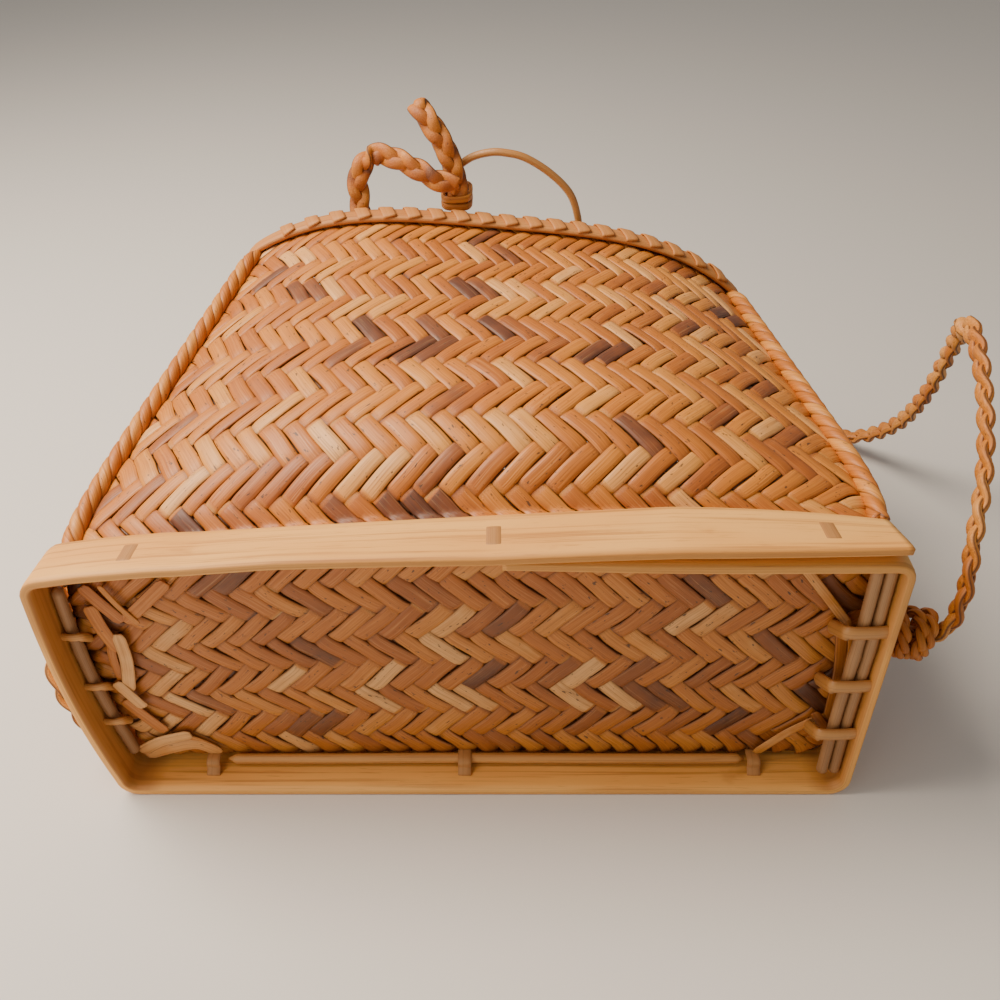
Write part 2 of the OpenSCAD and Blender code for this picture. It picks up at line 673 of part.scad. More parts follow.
// Straps: each row of a route is [share, dx, dt, rise]. The place is the share of the way from the strap's
// seat on the end wall to its end behind the rim, moved by dx and dt. A rise of 0 lies on the surface and
// a rise of 1 is as high as the seat.
knot_ring_r = strap_w / 2 + knot_cord_r + 2 * fit;
seat_t = ring_depth + knot_ring_r + 3;
floor_z = strap_w / 2;
strap_end_t = basket_l + fit + turn_t + strap_t / 2;
strap_end_x = 36;
right_seat_u = wall_start(1) + 0.45 * end_strands;
left_seat_u = wall_start(3) + 0.46 * end_strands;
wall_clear = relief + 2 * fit;
function wall_reach_x(u) = max([for (t = [seat_t:knot_ring_r / 2:seat_t + 3 * knot_ring_r]) abs(section(u, t)[0])]);
right_seat = [wall_reach_x(right_seat_u) + wall_clear, seat_t, section(right_seat_u, seat_t)[1]];
left_seat = [-wall_reach_x(left_seat_u) - wall_clear - knot_ring_r - knot_cord_r, seat_t,
             section(left_seat_u, seat_t)[1]];
function strap_route(seat, end_x, rows) =
    [for (r = rows)
        [mix(seat[0], end_x, r[0]) + r[1],
         mix(seat[1], strap_end_t, r[0]) + r[2],
         mix(floor_z, seat[2], r[3])]];
right_route = strap_route(right_seat, strap_end_x,
    [[0, 0, 0, 1], [0, knot_stand, 0, 0.96], [0, knot_stand + 10, -1, 0.94], [0, 30, -3, 1.06], [0, 32, -1, 1.4],
     [0, 34.5, 9, 1.69], [0, 40, 25, 1.96], [0, 44.5, 45, 2.22], [0, 48, 67, 2.42], [0, 52, 89, 2.42],
     [0.25, 81, 71, 2], [0.5, 108, 52, 1.3], [0.75, 132, 37, 0.65], [1, 148, 24, 0.15], [1, 132, 39, 0],
     [1, 102, 45, 0], [1, 69, 40, 0], [1, 36, 29, 0], [1, 8, 15, 0], [1, 0, 0, 0]]);
left_route = strap_route(left_seat, -strap_end_x,
    [[0, 9.6, -18, 0.12], [0, 6, -16.5, 0.3], [0, 2, -15, 0.5], [0, -1.5, -13, 0.72], [0, -2.4, -8.5, 0.92],
     [0, -1, -3, 1], [0, 0, 1, 1], [0, 0, 6, 1], [0, 0, 16, 1], [0, -1, 21, 0.98], [0, -5, 30, 0.78], [0, -12, 42, 0.38], [0.15, -34, 37, 0.07], [0.3, -53, 32, 0], [0.5, -80, 24, 0],
     [0.75, -108, 12, 0], [1, -119, 10, 0], [1, -95, 35, 0], [1, -67, 43, 0], [1, -38, 35, 0], [1, -10, 17, 0],
     [1, 0, 0, 0]]);
module right_strap() {
    color("tan") plait(right_route, 3, strap_w, strap_t, [0.2, 0.7, -0.7], [0, 1, 0]);
}
module left_strap() {
    color("tan") plait(left_route, 2, strap_w, strap_t, [0, 1, 0.2], [1, 0.6, 0]);
}

// Knots: three turns of cord round a strap, from a point of its route along the way there
module strap_knot(from, way) {
    for (k = [0:2])
        translate(from - [0, mid_depth, 0] + unit(way) * (k * (2 * knot_cord_r + fit)))
            rotate([0, acos(unit(way)[2]), atan2(way[1], way[0])])
                rotate_extrude() translate([knot_ring_r, 0]) circle(r = knot_cord_r);
}
right_knot_at = 1;
left_knot_at = 7;
module right_strap_knot() {
    color("tan") strap_knot(right_route[right_knot_at], right_route[right_knot_at + 1] - right_route[right_knot_at]);
}
module left_strap_knot() {
    color("tan") strap_knot(left_route[left_knot_at], left_route[left_knot_at + 1] - left_route[left_knot_at]);
}

// Tie at the middle of the front rim: a band up from inside the rim and across the foot of a folded loop,
// two turns round that foot, and a thin cane from the loop's fold down to the rim. Each part of a route is
// set off from a place on the rim, [x, t, z], whose z is that of the wall's outside.
function rim_place(share) =
    let (p = section(wall_start(2) + share * long_strands, basket_l))
    [p[0], basket_l, p[1]];
function rim_low(share, half_w) =
    let (step = half_w / (mouth_front_w - 2 * corner_reach))
    min(rim_place(share - step)[2], rim_place(share + step)[2]) - rim_place(share)[2];
function inside_rim(share, half_w, half_t) = rim_low(share, half_w) - wall_t - hoop_t - turn_t - half_t - 4 * fit;
function from_place(place, offsets) = [for (d = offsets) place + d];
band_share = 0.8;
loop_share = 0.6;
cane_share = 0.325;
band_place = rim_place(band_share);
loop_place = rim_place(loop_share);
cane_place = rim_place(cane_share);
over_rim_t = fit + turn_t + tie_t / 2 + 2 * fit;
leg_t = 6.5;
fold = tie_t + 4;
band_in = inside_rim(band_share, tie_w / 2, tie_t / 2);
band_route = concat(
    from_place(band_place, [[0, -7, band_in], [-0.5, 0, band_in], [-2, over_rim_t + 1.3, band_in + 4.5],
                            [-3, over_rim_t + 3.1, 5], [-2, over_rim_t + 3.6, 18], [6, over_rim_t + 4.5, 25.5]]),
    from_place(loop_place, [[-17.2, 4, 23], [-8.5, 1.2, 18], [0.8, leg_t - tie_t - 2 * fit, 14]]));
loop_route = from_place(loop_place,
    [[0.8, leg_t, 3.5], [-0.2, leg_t, 15], [-4.2, leg_t + 1, 27], [-10.2, leg_t + 3, 36],
     [-14.2, leg_t + fold / 2 + 2.5, 40.5], [-12.2, leg_t + fold + 2, 36], [-6.2, leg_t + fold + 1, 27],
     [-1.2, leg_t + fold, 15], [-0.2, leg_t + fold, 3.5]]);
cane_in = inside_rim(cane_share, tie_cane_r, tie_cane_r);
cane_route = concat(
    from_place(loop_place, [[-0.5, leg_t + fold / 2, 17], [6, leg_t + fold / 2 - 0.3, 21.5],
                            [13, leg_t + fold / 2 - 2, 24], [19, leg_t + fold / 2 - 3, 24.3]]),
    from_place(cane_place, [[-22, 7, 27.5], [-12, 6.5, 21.5], [-4, 6, 13.5], [-0.5, 5.5, 4], [0, 4.6, -3],
                            [0, 2.8, cane_in + 2], [0, -2, cane_in], [0, -7, cane_in]]));
module tie_band() {
    color("tan") plait(band_route, 2, tie_w, tie_t, [1, 0, 0], [0.5, 0, 0.85]);
}
module tie_loop() {
    color("tan") plait(loop_route, 3, tie_w, tie_t, [1, 0, 0.3], [1, 0, 0.3]);
}
turn_cane_h = 2.6;
turn_cane_t = 1.5;
turn_play = 1.3;
module tie_knot() {
    inside = [tie_w + 2 * turn_play, fold + tie_t + 2 * turn_play - 2 * fit];
    color("tan")
        for (k = [0:1])
            translate(loop_place + [0, leg_t + fold / 2 - mid_depth, 4.6 + k * (turn_cane_h + fit)])
                linear_extrude(height = turn_cane_h, center = true)
                    difference() {
                        square(inside + 2 * turn_cane_t * [1, 1], center = true);
                        square(inside, center = true);
                    }
}
module tie_cane() {
    color("sienna") round_cane(smooth_route(cane_route, 2), tie_cane_r, [0.3, 0.2, 1]);
}

woven_body();
foot_ring();
left_cane();
right_cane_outer();
right_cane_inner();
back_cane();
front_lashings();
back_lashings();
left_lashings();
right_lashings();
left_edge_strand();
right_edge_strand();
front_left_rib();
front_right_rib();
back_left_rib();
back_right_rib();
rim_outer_hoop();
rim_inner_hoop();
rim_binding();
right_strap();
left_strap();
right_strap_knot();
left_strap_knot();
tie_band();
tie_loop();
tie_knot();
tie_cane();
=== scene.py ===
# %% [markdown]
# # A small rucksack basket of split rattan
# The CAD frame gives the basket's solids: the woven wall as low ridges, the bent wood ring, canes, hoops
# and straps. This lesson weaves the real strands over that frame. Every piece is a surface worked out
# with numpy, in millimetres, and put into Blender in metres in the frame's own axes: +X to the right,
# +Y from the base to the mouth, +Z up.

import bpy
import numpy as np
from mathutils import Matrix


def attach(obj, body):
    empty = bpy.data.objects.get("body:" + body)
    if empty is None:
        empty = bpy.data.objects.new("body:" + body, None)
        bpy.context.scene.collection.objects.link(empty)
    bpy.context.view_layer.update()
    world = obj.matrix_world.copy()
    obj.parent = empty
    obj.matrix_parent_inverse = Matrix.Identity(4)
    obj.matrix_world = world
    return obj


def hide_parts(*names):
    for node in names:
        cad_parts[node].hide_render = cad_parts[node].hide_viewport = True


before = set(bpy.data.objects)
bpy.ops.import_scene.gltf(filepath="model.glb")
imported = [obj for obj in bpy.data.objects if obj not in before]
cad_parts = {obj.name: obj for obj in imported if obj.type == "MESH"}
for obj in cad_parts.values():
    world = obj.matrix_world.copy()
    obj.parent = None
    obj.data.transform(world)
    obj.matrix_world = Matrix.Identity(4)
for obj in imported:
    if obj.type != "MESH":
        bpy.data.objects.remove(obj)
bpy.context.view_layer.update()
MM = 0.001
rng = np.random.default_rng(11)

# %% [markdown]
# ## From arrays to meshes
# Strands, hoops, canes and plaits are all tubes: a section carried along a path. One function takes
# every tube of a piece as a single array, so a whole wall of strands is one mesh. Its faces come from
# index sums, and its UV map keeps the distance along the strand and the place round it, because grain
# follows a strand however it bends.

# %% Tubes as one mesh
def tube_faces(tubes, stations, around, closed):
    """Quads between each ring of points and the next; open tubes also get flat ends made of quads."""
    index = np.arange(tubes * stations * around).reshape(tubes, stations, around)
    ahead = np.roll(index, -1, axis=1) if closed else index[:, 1:]
    here = index if closed else index[:, :-1]
    sides = np.stack([here, np.roll(here, -1, 2), np.roll(ahead, -1, 2), ahead], -1).reshape(-1, 4)
    if closed:
        return sides, sides[:0]
    fan = np.array([[0, k, k + 1, k + 2] for k in range(1, around - 2, 2)])
    ends = np.concatenate([index[:, 0][:, fan[:, ::-1]], index[:, -1][:, fan]], 1).reshape(-1, 4)
    return sides, ends


def points_outward(rings, sides):
    """True where the quads face away from the middle of their ring."""
    corners = rings.reshape(-1, 3)[sides]
    normals = np.cross(corners[:, 2] - corners[:, 0], corners[:, 3] - corners[:, 1])
    middles = np.repeat(rings.mean(2, keepdims=True), rings.shape[2], 2).reshape(-1, 3)
    return (normals * (corners.mean(1) - middles[sides[:, 0]])).sum() > 0


def tube_piece(name, rings, finish, nodes, closed=False, tone=None, lift=None):
    """A piece from rings[tube, station, around, xyz] in mm, with UV = (mm along, share round)."""
    rings = np.asarray(rings, float)
    tubes, stations, around, _ = rings.shape
    sides, ends = tube_faces(tubes, stations, around, closed)
    steps = np.linalg.norm(np.diff(rings.mean(2), axis=1), axis=-1)
    along = np.concatenate([np.zeros((tubes, 1)), np.cumsum(steps, 1)], 1)
    share = np.arange(around) / around
    uv = np.stack(np.broadcast_arrays(along[:, :, None], share), -1).reshape(-1, 2)
    side_uv = uv[sides]
    wraps = side_uv[:, :, 1] + (side_uv[:, :1, 1] - side_uv[:, :, 1] > 0.5)
    side_uv = np.stack([side_uv[:, :, 0], wraps], -1)
    quads = np.concatenate([sides, ends])
    corner_uv = np.concatenate([side_uv, uv[ends]])
    if not points_outward(rings, sides):
        quads, corner_uv = quads[:, ::-1], corner_uv[:, ::-1]
    mesh = bpy.data.meshes.new(name)
    mesh.vertices.add(rings.size // 3)
    mesh.vertices.foreach_set("co", (rings * MM).ravel())
    mesh.loops.add(quads.size)
    mesh.loops.foreach_set("vertex_index", np.ascontiguousarray(quads.ravel(), np.int32))
    mesh.polygons.add(len(quads))
    mesh.polygons.foreach_set("loop_start", np.arange(0, quads.size, 4, dtype=np.int32))
    mesh.update(calc_edges=True)
    mesh.shade_smooth()
    mesh.uv_layers.new(name="UVMap").uv.foreach_set("vector", np.ascontiguousarray(corner_uv.ravel()))
    for label, values in (("tone", tone), ("lift", lift)):
        if values is not None:
            full = np.broadcast_to(values, (tubes, stations, around)).astype(np.float32)
            mesh.attributes.new(label, "FLOAT", "POINT").data.foreach_set("value", full.ravel())
    piece = bpy.data.objects.new(name, mesh)
    bpy.context.scene.collection.objects.link(piece)
    mesh.materials.append(finish)
    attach(piece, "root")
    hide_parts(*nodes)
    print(name, "faces:", len(quads))
    return piece


# %% [markdown]
# A section needs a frame at each place of its path: the way ahead, a flat direction and the direction
# out of it. The flat direction is a chosen side with the part along the path taken away.

# %% Sections along paths
def unit(v):
    """v divided by its length."""
    return v / np.maximum(np.linalg.norm(v, axis=-1, keepdims=True), 1e-9)


def path_frame(path, side, closed=False):
    """Flat and upright directions at each place of path[..., station, xyz]."""
    if closed:
        ahead = np.roll(path, -1, -2) - np.roll(path, 1, -2)
    else:
        ahead = np.gradient(path, axis=-2)
    ahead = unit(ahead)
    side = np.broadcast_to(np.asarray(side, float), path.shape)
    flat = unit(side - (side * ahead).sum(-1, keepdims=True) * ahead)
    return flat, np.cross(flat, ahead)


def sweep(path, side, profile, closed=False):
    """Each profile point (a, b) becomes path + a times flat + b times upright."""
    flat, upright = path_frame(path, side, closed)
    profile = np.asarray(profile, float)
    return (path[..., None, :] + flat[..., None, :] * profile[..., :1]
            + upright[..., None, :] * profile[..., 1:])


def oval(a, b, around):
    """An ellipse with half-widths a and b."""
    angle = np.arange(around) * 2 * np.pi / around
    return np.stack([a * np.cos(angle), b * np.sin(angle)], -1)


def rounded_bar(width, thick, power, around):
    """A bar with rounded corners: a superellipse, whose power sets how square it is."""
    angle = (np.arange(around) + 0.5) * 2 * np.pi / around
    c, s = np.cos(angle), np.sin(angle)
    scale = (np.abs(c) ** power + np.abs(s) ** power) ** (-1 / power)
    return np.stack([width / 2 * c * scale, thick / 2 * s * scale], -1)


def even(curve, stations):
    """A curve's points moved along it until they are equally far apart."""
    run = np.concatenate([[0], np.cumsum(np.linalg.norm(np.diff(curve, axis=0), axis=1))])
    wanted = np.linspace(0, run[-1], stations)
    return np.stack([np.interp(wanted, run, curve[:, k]) for k in range(curve.shape[1])], -1)


def spline(route, stations):
    """A smooth curve through route's points, evenly spaced: Catmull-Rom, then resampled by length."""
    route = np.asarray(route, float)
    ends = np.concatenate([[2 * route[0] - route[1]], route, [2 * route[-1] - route[-2]]])
    s = np.linspace(0, 1, 24, endpoint=False)[:, None]
    p0, p1, p2, p3 = (ends[i:len(route) - 1 + i, None] for i in range(4))
    curve = 0.5 * (2 * p1 + (p2 - p0) * s + (2 * p0 - 5 * p1 + 4 * p2 - p3) * s ** 2
                   + (3 * p1 - p0 - 3 * p2 + p3) * s ** 3)
    curve = np.concatenate([curve.reshape(-1, route.shape[1]), route[-1:]])
    return even(curve, stations)


print("sections ready")

# %% [markdown]
# ## Finishes as sums
# A finish is written as ordinary sums on the values of its node tree. One small class wraps a socket,
# and one method adds any other node. Rattan takes its colour from three things: which strand it is, the
# streaks of its fibres, and painted shade that darkens it where it lies deep between its neighbours.

# %% A socket that can be added and multiplied
class Wire:
    """One output of a finish's node tree, so that shader maths reads as sums."""

    def __init__(self, finish, socket):
        self.finish = finish
        self.socket = socket

    def maths(self, operation, a, b):
        return self.finish.node("ShaderNodeMath", {"operation": operation}, {0: a, 1: b})

    def __add__(self, other):
        return self.maths("ADD", self, other)

    def __sub__(self, other):
        return self.maths("SUBTRACT", self, other)

    def __rsub__(self, other):
        return self.maths("SUBTRACT", other, self)

    def __mul__(self, other):
        return self.maths("MULTIPLY", self, other)

    def __abs__(self):
        return self.maths("ABSOLUTE", self, 0.0)

    __radd__ = __add__
    __rmul__ = __mul__


class Finish:
    """A material under construction: its nodes, and the surface shader that they feed."""

    def __init__(self, name):
        self.material = bpy.data.materials.new(name)
        self.material.use_nodes = True
        self.tree = self.material.node_tree
        self.shader = self.tree.nodes["Principled BSDF"]

    def node(self, kind, settings, inputs, out=0):
        """Adds a node, sets its settings first, then fills or links its inputs."""
        made = self.tree.nodes.new(kind)
        for key, value in settings.items():
            if key == "stops":
                ramp = made.color_ramp.elements
                while len(ramp) < len(value):
                    ramp.new(0.5)
                for stop, (place, colour) in zip(ramp, value):
                    stop.position = place
                    stop.color = (*colour, 1)
            else:
                setattr(made, key, value)
        for key, value in inputs.items():
            self.feed(made.inputs[key], value)
        return Wire(self, made.outputs[out])

    def feed(self, socket, value):
        if isinstance(value, Wire):
            self.tree.links.new(value.socket, socket)
        else:
            socket.default_value = value

    def surface(self, **inputs):
        """Feeds the shader's sockets; underscores in a name stand for spaces."""
        for key, value in inputs.items():
            self.feed(self.shader.inputs[key.replace("_", " ")], value)
        return self.material

    def mix(self, share, a, b):
        return self.node("ShaderNodeMix", {"data_type": "RGBA"}, {0: share, 6: a, 7: b}, 2)

    def step(self, value, low, high):
        """0 below low, 1 above high and a smooth rise between."""
        settings = {"interpolation_type": "SMOOTHSTEP"}
        return self.node("ShaderNodeMapRange", settings, {0: value, 1: low, 2: high})

    def noise(self, place, stretch, detail):
        """Cloudy noise, 0 to 1, over a place stretched by three factors."""
        moved = self.node("ShaderNodeVectorMath", {"operation": "MULTIPLY"}, {0: place, 1: stretch})
        return self.node("ShaderNodeTexNoise", {}, {"Vector": moved, "Scale": 1.0, "Detail": detail})

    def bump(self, height, strength, distance):
        return self.node("ShaderNodeBump", {},
                         {"Height": height, "Strength": strength, "Distance": distance})

    def uv(self):
        return self.node("ShaderNodeTexCoord", {}, {}, 2)

    def value(self, name):
        return self.node("ShaderNodeAttribute", {"attribute_name": name}, {}, 2)


# %% [markdown]
# The strands are skinned rattan: honey and straw, some pinkish and pale, a few stained brown. Each float
# carries its own tone, so the ramp's stops are the colours seen in one basket. Fibres streak along the
# strand, painted shade darkens the edges and the dips, and small knots leave dark flecks.

# %% Split rattan
CROWN_SHARE, UNDER_SHARE = 0.375, 0.875
UNDERSIDE_FROM, UNDERSIDE_FULL = 0.75, 0.79
DARK_FIBRE, PALE_FIBRE = (0.25, 0.07, 0.012, 1), (0.86, 0.46, 0.17, 1)
# The first colour below is painted shade for strand edges and dips; the second is the knot flecks' colour.
PAINTED_SHADE, FLECK = (0.06, 0.016, 0.004, 1), (0.06, 0.03, 0.015, 1)


def ribbon_edge(share):
    """0 on a woven ribbon's crown and under its middle, and 1 at its two edges."""
    over = abs(share - CROWN_SHARE) * (1 / CROWN_SHARE)
    under = abs(share - UNDER_SHARE) * (1 / (1 - UNDER_SHARE))
    return share.maths("MINIMUM", over, under)


def oval_edge(share):
    """0 on the two broad faces of an oval strand and 1 at its two edges."""
    return abs(abs(share - 0.5) - 0.25) * 4.0


def flat_edge(share):
    """0 on the broad faces of a strand that is swept on edge and 1 at its two edges."""
    return 1 - oval_edge(share)


def split_rattan(name, stops, edge_of, gloss=0.38, fleck=0.66, edge_shade_from=0.66):
    """Tone picks the colour; fibre streaks, painted shade on the edges and in the dips, and flecks are
    laid over it.

    Seen from inside the basket a woven ribbon's dips are its floats, so its underside has the lift's sign
    turned round."""
    f = Finish(name)
    uv = f.uv()
    tone = f.value("tone")
    spread = f.node("ShaderNodeCombineXYZ", {}, {"Z": tone * 90.0})
    own = f.node("ShaderNodeVectorMath", {"operation": "ADD"}, {0: uv, 1: spread})
    fibre = f.noise(own, (0.05, 26.0, 1.0), 4.0)
    cloud = f.noise(own, (0.11, 1.5, 1.0), 2.0)
    colour = f.node("ShaderNodeValToRGB", {"stops": stops}, {0: tone + (cloud - 0.5) * 0.24})
    colour = f.mix(f.step(fibre, 0.42, 0.75) * 0.5, colour, DARK_FIBRE)
    colour = f.mix(f.step(fibre, 0.5, 0.2) * 0.25, colour, PALE_FIBRE)
    share = f.node("ShaderNodeSeparateXYZ", {}, {0: uv}, 1)
    # Painted shade: the strand's edges are darkened as if shaded by its neighbours.
    edge = f.step(edge_of(share), edge_shade_from, 1.0)
    # Painted shade: the strand is darkened where it dips under the crossing strands.
    lift = f.value("lift")
    if edge_of is ribbon_edge:
        lift = lift * (1 - f.step(share, UNDERSIDE_FROM, UNDERSIDE_FULL) * 2.0)
    deep = f.step(lift, 0.4, -0.6)
    colour = f.mix(edge * 0.85, colour, PAINTED_SHADE)
    colour = f.mix(deep * 0.85, colour, PAINTED_SHADE)
    knots = f.step(f.noise(own, (0.42, 11.0, 1.0), 2.0), fleck, fleck + 0.05)
    colour = f.mix(knots * 0.85, colour, FLECK)
    return f.surface(Base_Color=colour, Roughness=gloss + fibre * 0.22,
                     Normal=f.bump(fibre + cloud * 0.4, 0.35, 0.0004))


WEAVE_STOPS = [(0.0, (0.1, 0.032, 0.016)), (0.09, (0.2, 0.06, 0.02)), (0.2, (0.38, 0.1, 0.011)),
               (0.42, (0.52, 0.155, 0.013)), (0.66, (0.61, 0.21, 0.021)), (0.85, (0.69, 0.285, 0.048)),
               (1.0, (0.76, 0.37, 0.115))]
BASE_STOPS = [(0.0, (0.08, 0.022, 0.008)), (0.1, (0.2, 0.056, 0.01)), (0.3, (0.36, 0.1, 0.011)),
              (0.6, (0.48, 0.15, 0.016)), (0.85, (0.58, 0.22, 0.035)), (1.0, (0.72, 0.37, 0.13))]
weave_finish = split_rattan("weave_rattan", WEAVE_STOPS, ribbon_edge)
base_finish = split_rattan("base_rattan", BASE_STOPS, ribbon_edge, 0.34, 0.66, 0.5)
loose_finish = split_rattan("loose_rattan", BASE_STOPS, flat_edge, 0.4, 0.7)
rib_finish = split_rattan("rib_rattan", WEAVE_STOPS, oval_edge, 0.4, 0.7)
plait_finish = split_rattan("plait_rattan", WEAVE_STOPS, oval_edge, 0.45, 0.68)
print("rattan finishes ready")

# %% [markdown]
# The ring and the hoops are split wood, paler and finer: long growth lines run with the strip, and the
# wood is dull. Painted shade darkens the inside of the ring's short sides and the front's free edge, and
# an attribute of the mesh marks them.

# %% Split wood
def split_wood(name, pale, warm, line, gloss=0.5):
    """Growth lines: noise stretched far along the strip, over a slow change from pale to warm."""
    f = Finish(name)
    uv = f.uv()
    lines = f.noise(uv, (0.012, 46.0, 1.0), 5.0)
    slow = f.noise(uv, (0.012, 3.0, 1.0), 2.0)
    pores = f.noise(uv, (0.09, 110.0, 1.0), 2.0)
    stain = f.noise(uv, (0.05, 5.0, 1.0), 3.0)
    colour = f.mix(f.step(slow, 0.3, 0.7), pale, warm)
    colour = f.mix(f.step(lines, 0.48, 0.7) * 0.6, colour, line)
    colour = f.mix(f.step(pores, 0.6, 0.75) * 0.4, colour, line)
    colour = f.mix(f.step(stain, 0.64, 0.8) * 0.5, colour, line)
    # Painted shade: on the ring the lift attribute marks its shaded inner end faces and front free edge.
    colour = f.mix(f.value("lift") * 0.62, colour, line)
    return f.surface(Base_Color=colour, Roughness=gloss + lines * 0.2,
                     Normal=f.bump(lines + pores * 0.5, 0.25, 0.0003))


ring_finish = split_wood("ring_wood", (0.9, 0.46, 0.115, 1), (0.8, 0.36, 0.075, 1),
                         (0.36, 0.12, 0.02, 1))
hoop_finish = split_wood("hoop_wood", (0.6, 0.25, 0.06, 1), (0.5, 0.18, 0.035, 1),
                         (0.26, 0.085, 0.015, 1))
cane_finish = split_wood("round_cane", (0.42, 0.22, 0.09, 1), (0.32, 0.15, 0.055, 1),
                         (0.16, 0.065, 0.02, 1), 0.4)
honey_finish = split_wood("honey_cane", (0.52, 0.25, 0.07, 1), (0.42, 0.17, 0.04, 1),
                          (0.2, 0.07, 0.02, 1), 0.26)
pale_cane_finish = split_wood("pale_cane", (0.66, 0.32, 0.09, 1), (0.54, 0.23, 0.055, 1),
                              (0.25, 0.09, 0.02, 1), 0.36)
stitch_finish = split_wood("stitch_cane", (0.47, 0.22, 0.065, 1), (0.4, 0.17, 0.045, 1),
                           (0.22, 0.09, 0.025, 1))
print("wood finishes ready")

# %% [markdown]
# ## The basket's form
# These sums also shape the CAD wall, which has fewer strands. A place on the wall is u, counted in
# strands round the basket, and t, the depth in millimetres from the ring's free edge. The section is a
# box with arched sides and round corners that changes from the ring's seat to the mouth while its sides
# swell.

# %% Sizes of the ring and the wall
RING_W, RING_LEFT_H, RING_RIGHT_H = 252.0, 97.0, 111.0
LEFT_LEAN, LEFT_BOW, RIGHT_LEAN = 7.0, 3.4, 3.5
RING_BOW, RING_DEPTH, RING_T, BEND_R = 8.0, 20.4, 3.0, 7.0
HALF_DEPTH = RING_DEPTH / 2
BASKET_L, BASE_T, HOOP_H, HOOP_T = 172.0, 14.0, 9.0, 3.0
WALL_T, RELIEF, FIT, EDGE_ROUND = 2.4, 1.0, 0.3, 1.5
LEVELS = 37
COLLAR_T, SHOULDER_T, SHOULDER_RUN = BASKET_L - HOOP_H, RING_DEPTH + 3.6, 0.09
FRONT_X0, FRONT_X1 = -RING_W / 2 - LEFT_LEAN, RING_W / 2 - RIGHT_LEAN
SEAT = RING_T + FIT + RELIEF
SEAT_CORNERS = np.array([[-RING_W / 2 + SEAT, SEAT], [RING_W / 2 - SEAT, SEAT],
                         [FRONT_X1 - SEAT, RING_RIGHT_H - SEAT], [FRONT_X0 + SEAT, RING_LEFT_H - SEAT]])
MOUTH_CORNERS = np.array([[-103.0, 8.0], [103.0, 8.0], [101.5, 110.5], [-93.5, 128.5]])
RIB_BELLY = 4.6
BELLY_WAYS = unit(SEAT_CORNERS - SEAT_CORNERS[[0, 1, 0, 1]])
SEAT_BULGES, MOUTH_BULGES = np.array([0.0, 0.0, RING_BOW, LEFT_BOW]), np.array([1.5, 10.0, 15.5, 10.0])
BELLIES, MOUTH_POWERS = np.array([0.0, 5.0, 18.0, 5.0]), np.array([2.0, 2.0, 3.6, 2.0])
CORNER_REACH, CORNER_HANDLE = 8.0, 0.38
LONG, END = 29, 11
STRANDS = 2 * (LONG + END + 2)
WALL_STARTS = np.array([0, LONG + 1, LONG + END + 2, 2 * LONG + END + 3])
WALL_COUNTS = np.array([LONG, END, LONG, END])
print("belly ways:", BELLY_WAYS.round(2).tolist())

# %% Form of the wall
def swell(k):
    """Rises fast after the ring and dies away towards the mouth."""
    return (1 - k) * (1 - np.exp(-k / SHOULDER_RUN))


def crosswise(v):
    """A plane vector turned a quarter turn clockwise."""
    return np.stack([v[..., 1], -v[..., 0]], -1)


def side_point(a, b, bulge, power, share):
    """The straight run from a to b, less its two corners, plus bulge times 1 - |2 share - 1| ** power."""
    d = unit(b - a)
    share = np.asarray(share, float)
    arch = bulge * (1 - np.abs(2 * share - 1) ** power)
    run = (b - a - 2 * CORNER_REACH * d) * share[..., None]
    return a + d * CORNER_REACH + run + crosswise(d) * arch[..., None]


def side_heading(a, b, bulge, power, turn):
    """The side's direction at its start, where turn is 1, or at its end, where turn is -1."""
    d = unit(b - a)
    slope = 2 * power * bulge / (np.linalg.norm(b - a, axis=-1) - 2 * CORNER_REACH)
    return unit(d + turn * crosswise(d) * slope[..., None])


def section(u, t):
    """The wall's point (x, z) at u strands round and depth t: an arched side or a cubic round corner."""
    u, t = np.broadcast_arrays(np.asarray(u, float), np.asarray(t, float))
    k = np.clip((t - SHOULDER_T) / (COLLAR_T - SHOULDER_T), 0, 1)
    grown, swollen = k[..., None], swell(k)[..., None]
    corners = (SEAT_CORNERS + (MOUTH_CORNERS - SEAT_CORNERS) * grown[..., None]
               + RIB_BELLY * swollen[..., None] * BELLY_WAYS)
    bulges = SEAT_BULGES + (MOUTH_BULGES - SEAT_BULGES) * grown + BELLIES * swollen
    powers = 2 + (MOUTH_POWERS - 2) * grown
    w = np.mod(u, STRANDS)
    wall = np.searchsorted(WALL_STARTS, w, side="right") - 1
    s = w - WALL_STARTS[wall]
    count = WALL_COUNTS[wall]
    here, ahead, past = (((wall + i) % 4)[..., None] for i in range(3))
    a, b, c = (np.take_along_axis(corners, i[..., None], -2)[..., 0, :] for i in (here, ahead, past))
    bulge, next_bulge = (np.take_along_axis(bulges, i, -1)[..., 0] for i in (here, ahead))
    power, next_power = (np.take_along_axis(powers, i, -1)[..., 0] for i in (here, ahead))
    side = side_point(a, b, bulge, power, np.clip(s / count, 0, 1))
    p = side_point(a, b, bulge, power, np.ones(s.shape))
    q = side_point(b, c, next_bulge, next_power, np.zeros(s.shape))
    handle = CORNER_HANDLE * np.linalg.norm(q - p, axis=-1, keepdims=True)
    after = p + handle * side_heading(a, b, bulge, power, -1)
    before = q - handle * side_heading(b, c, next_bulge, next_power, 1)
    r = np.clip(s - count, 0, 1)[..., None]
    bend = (1 - r) ** 3 * p + 3 * r * (1 - r) ** 2 * after + 3 * r ** 2 * (1 - r) * before + r ** 3 * q
    return np.where((s <= count)[..., None], side, bend)


def wall_point(u, t):
    """The wall's point in the frame's axes, in mm."""
    p = section(u, t)
    return np.stack([p[..., 0], np.broadcast_to(t, p.shape[:-1]) - HALF_DEPTH, p[..., 1]], -1)


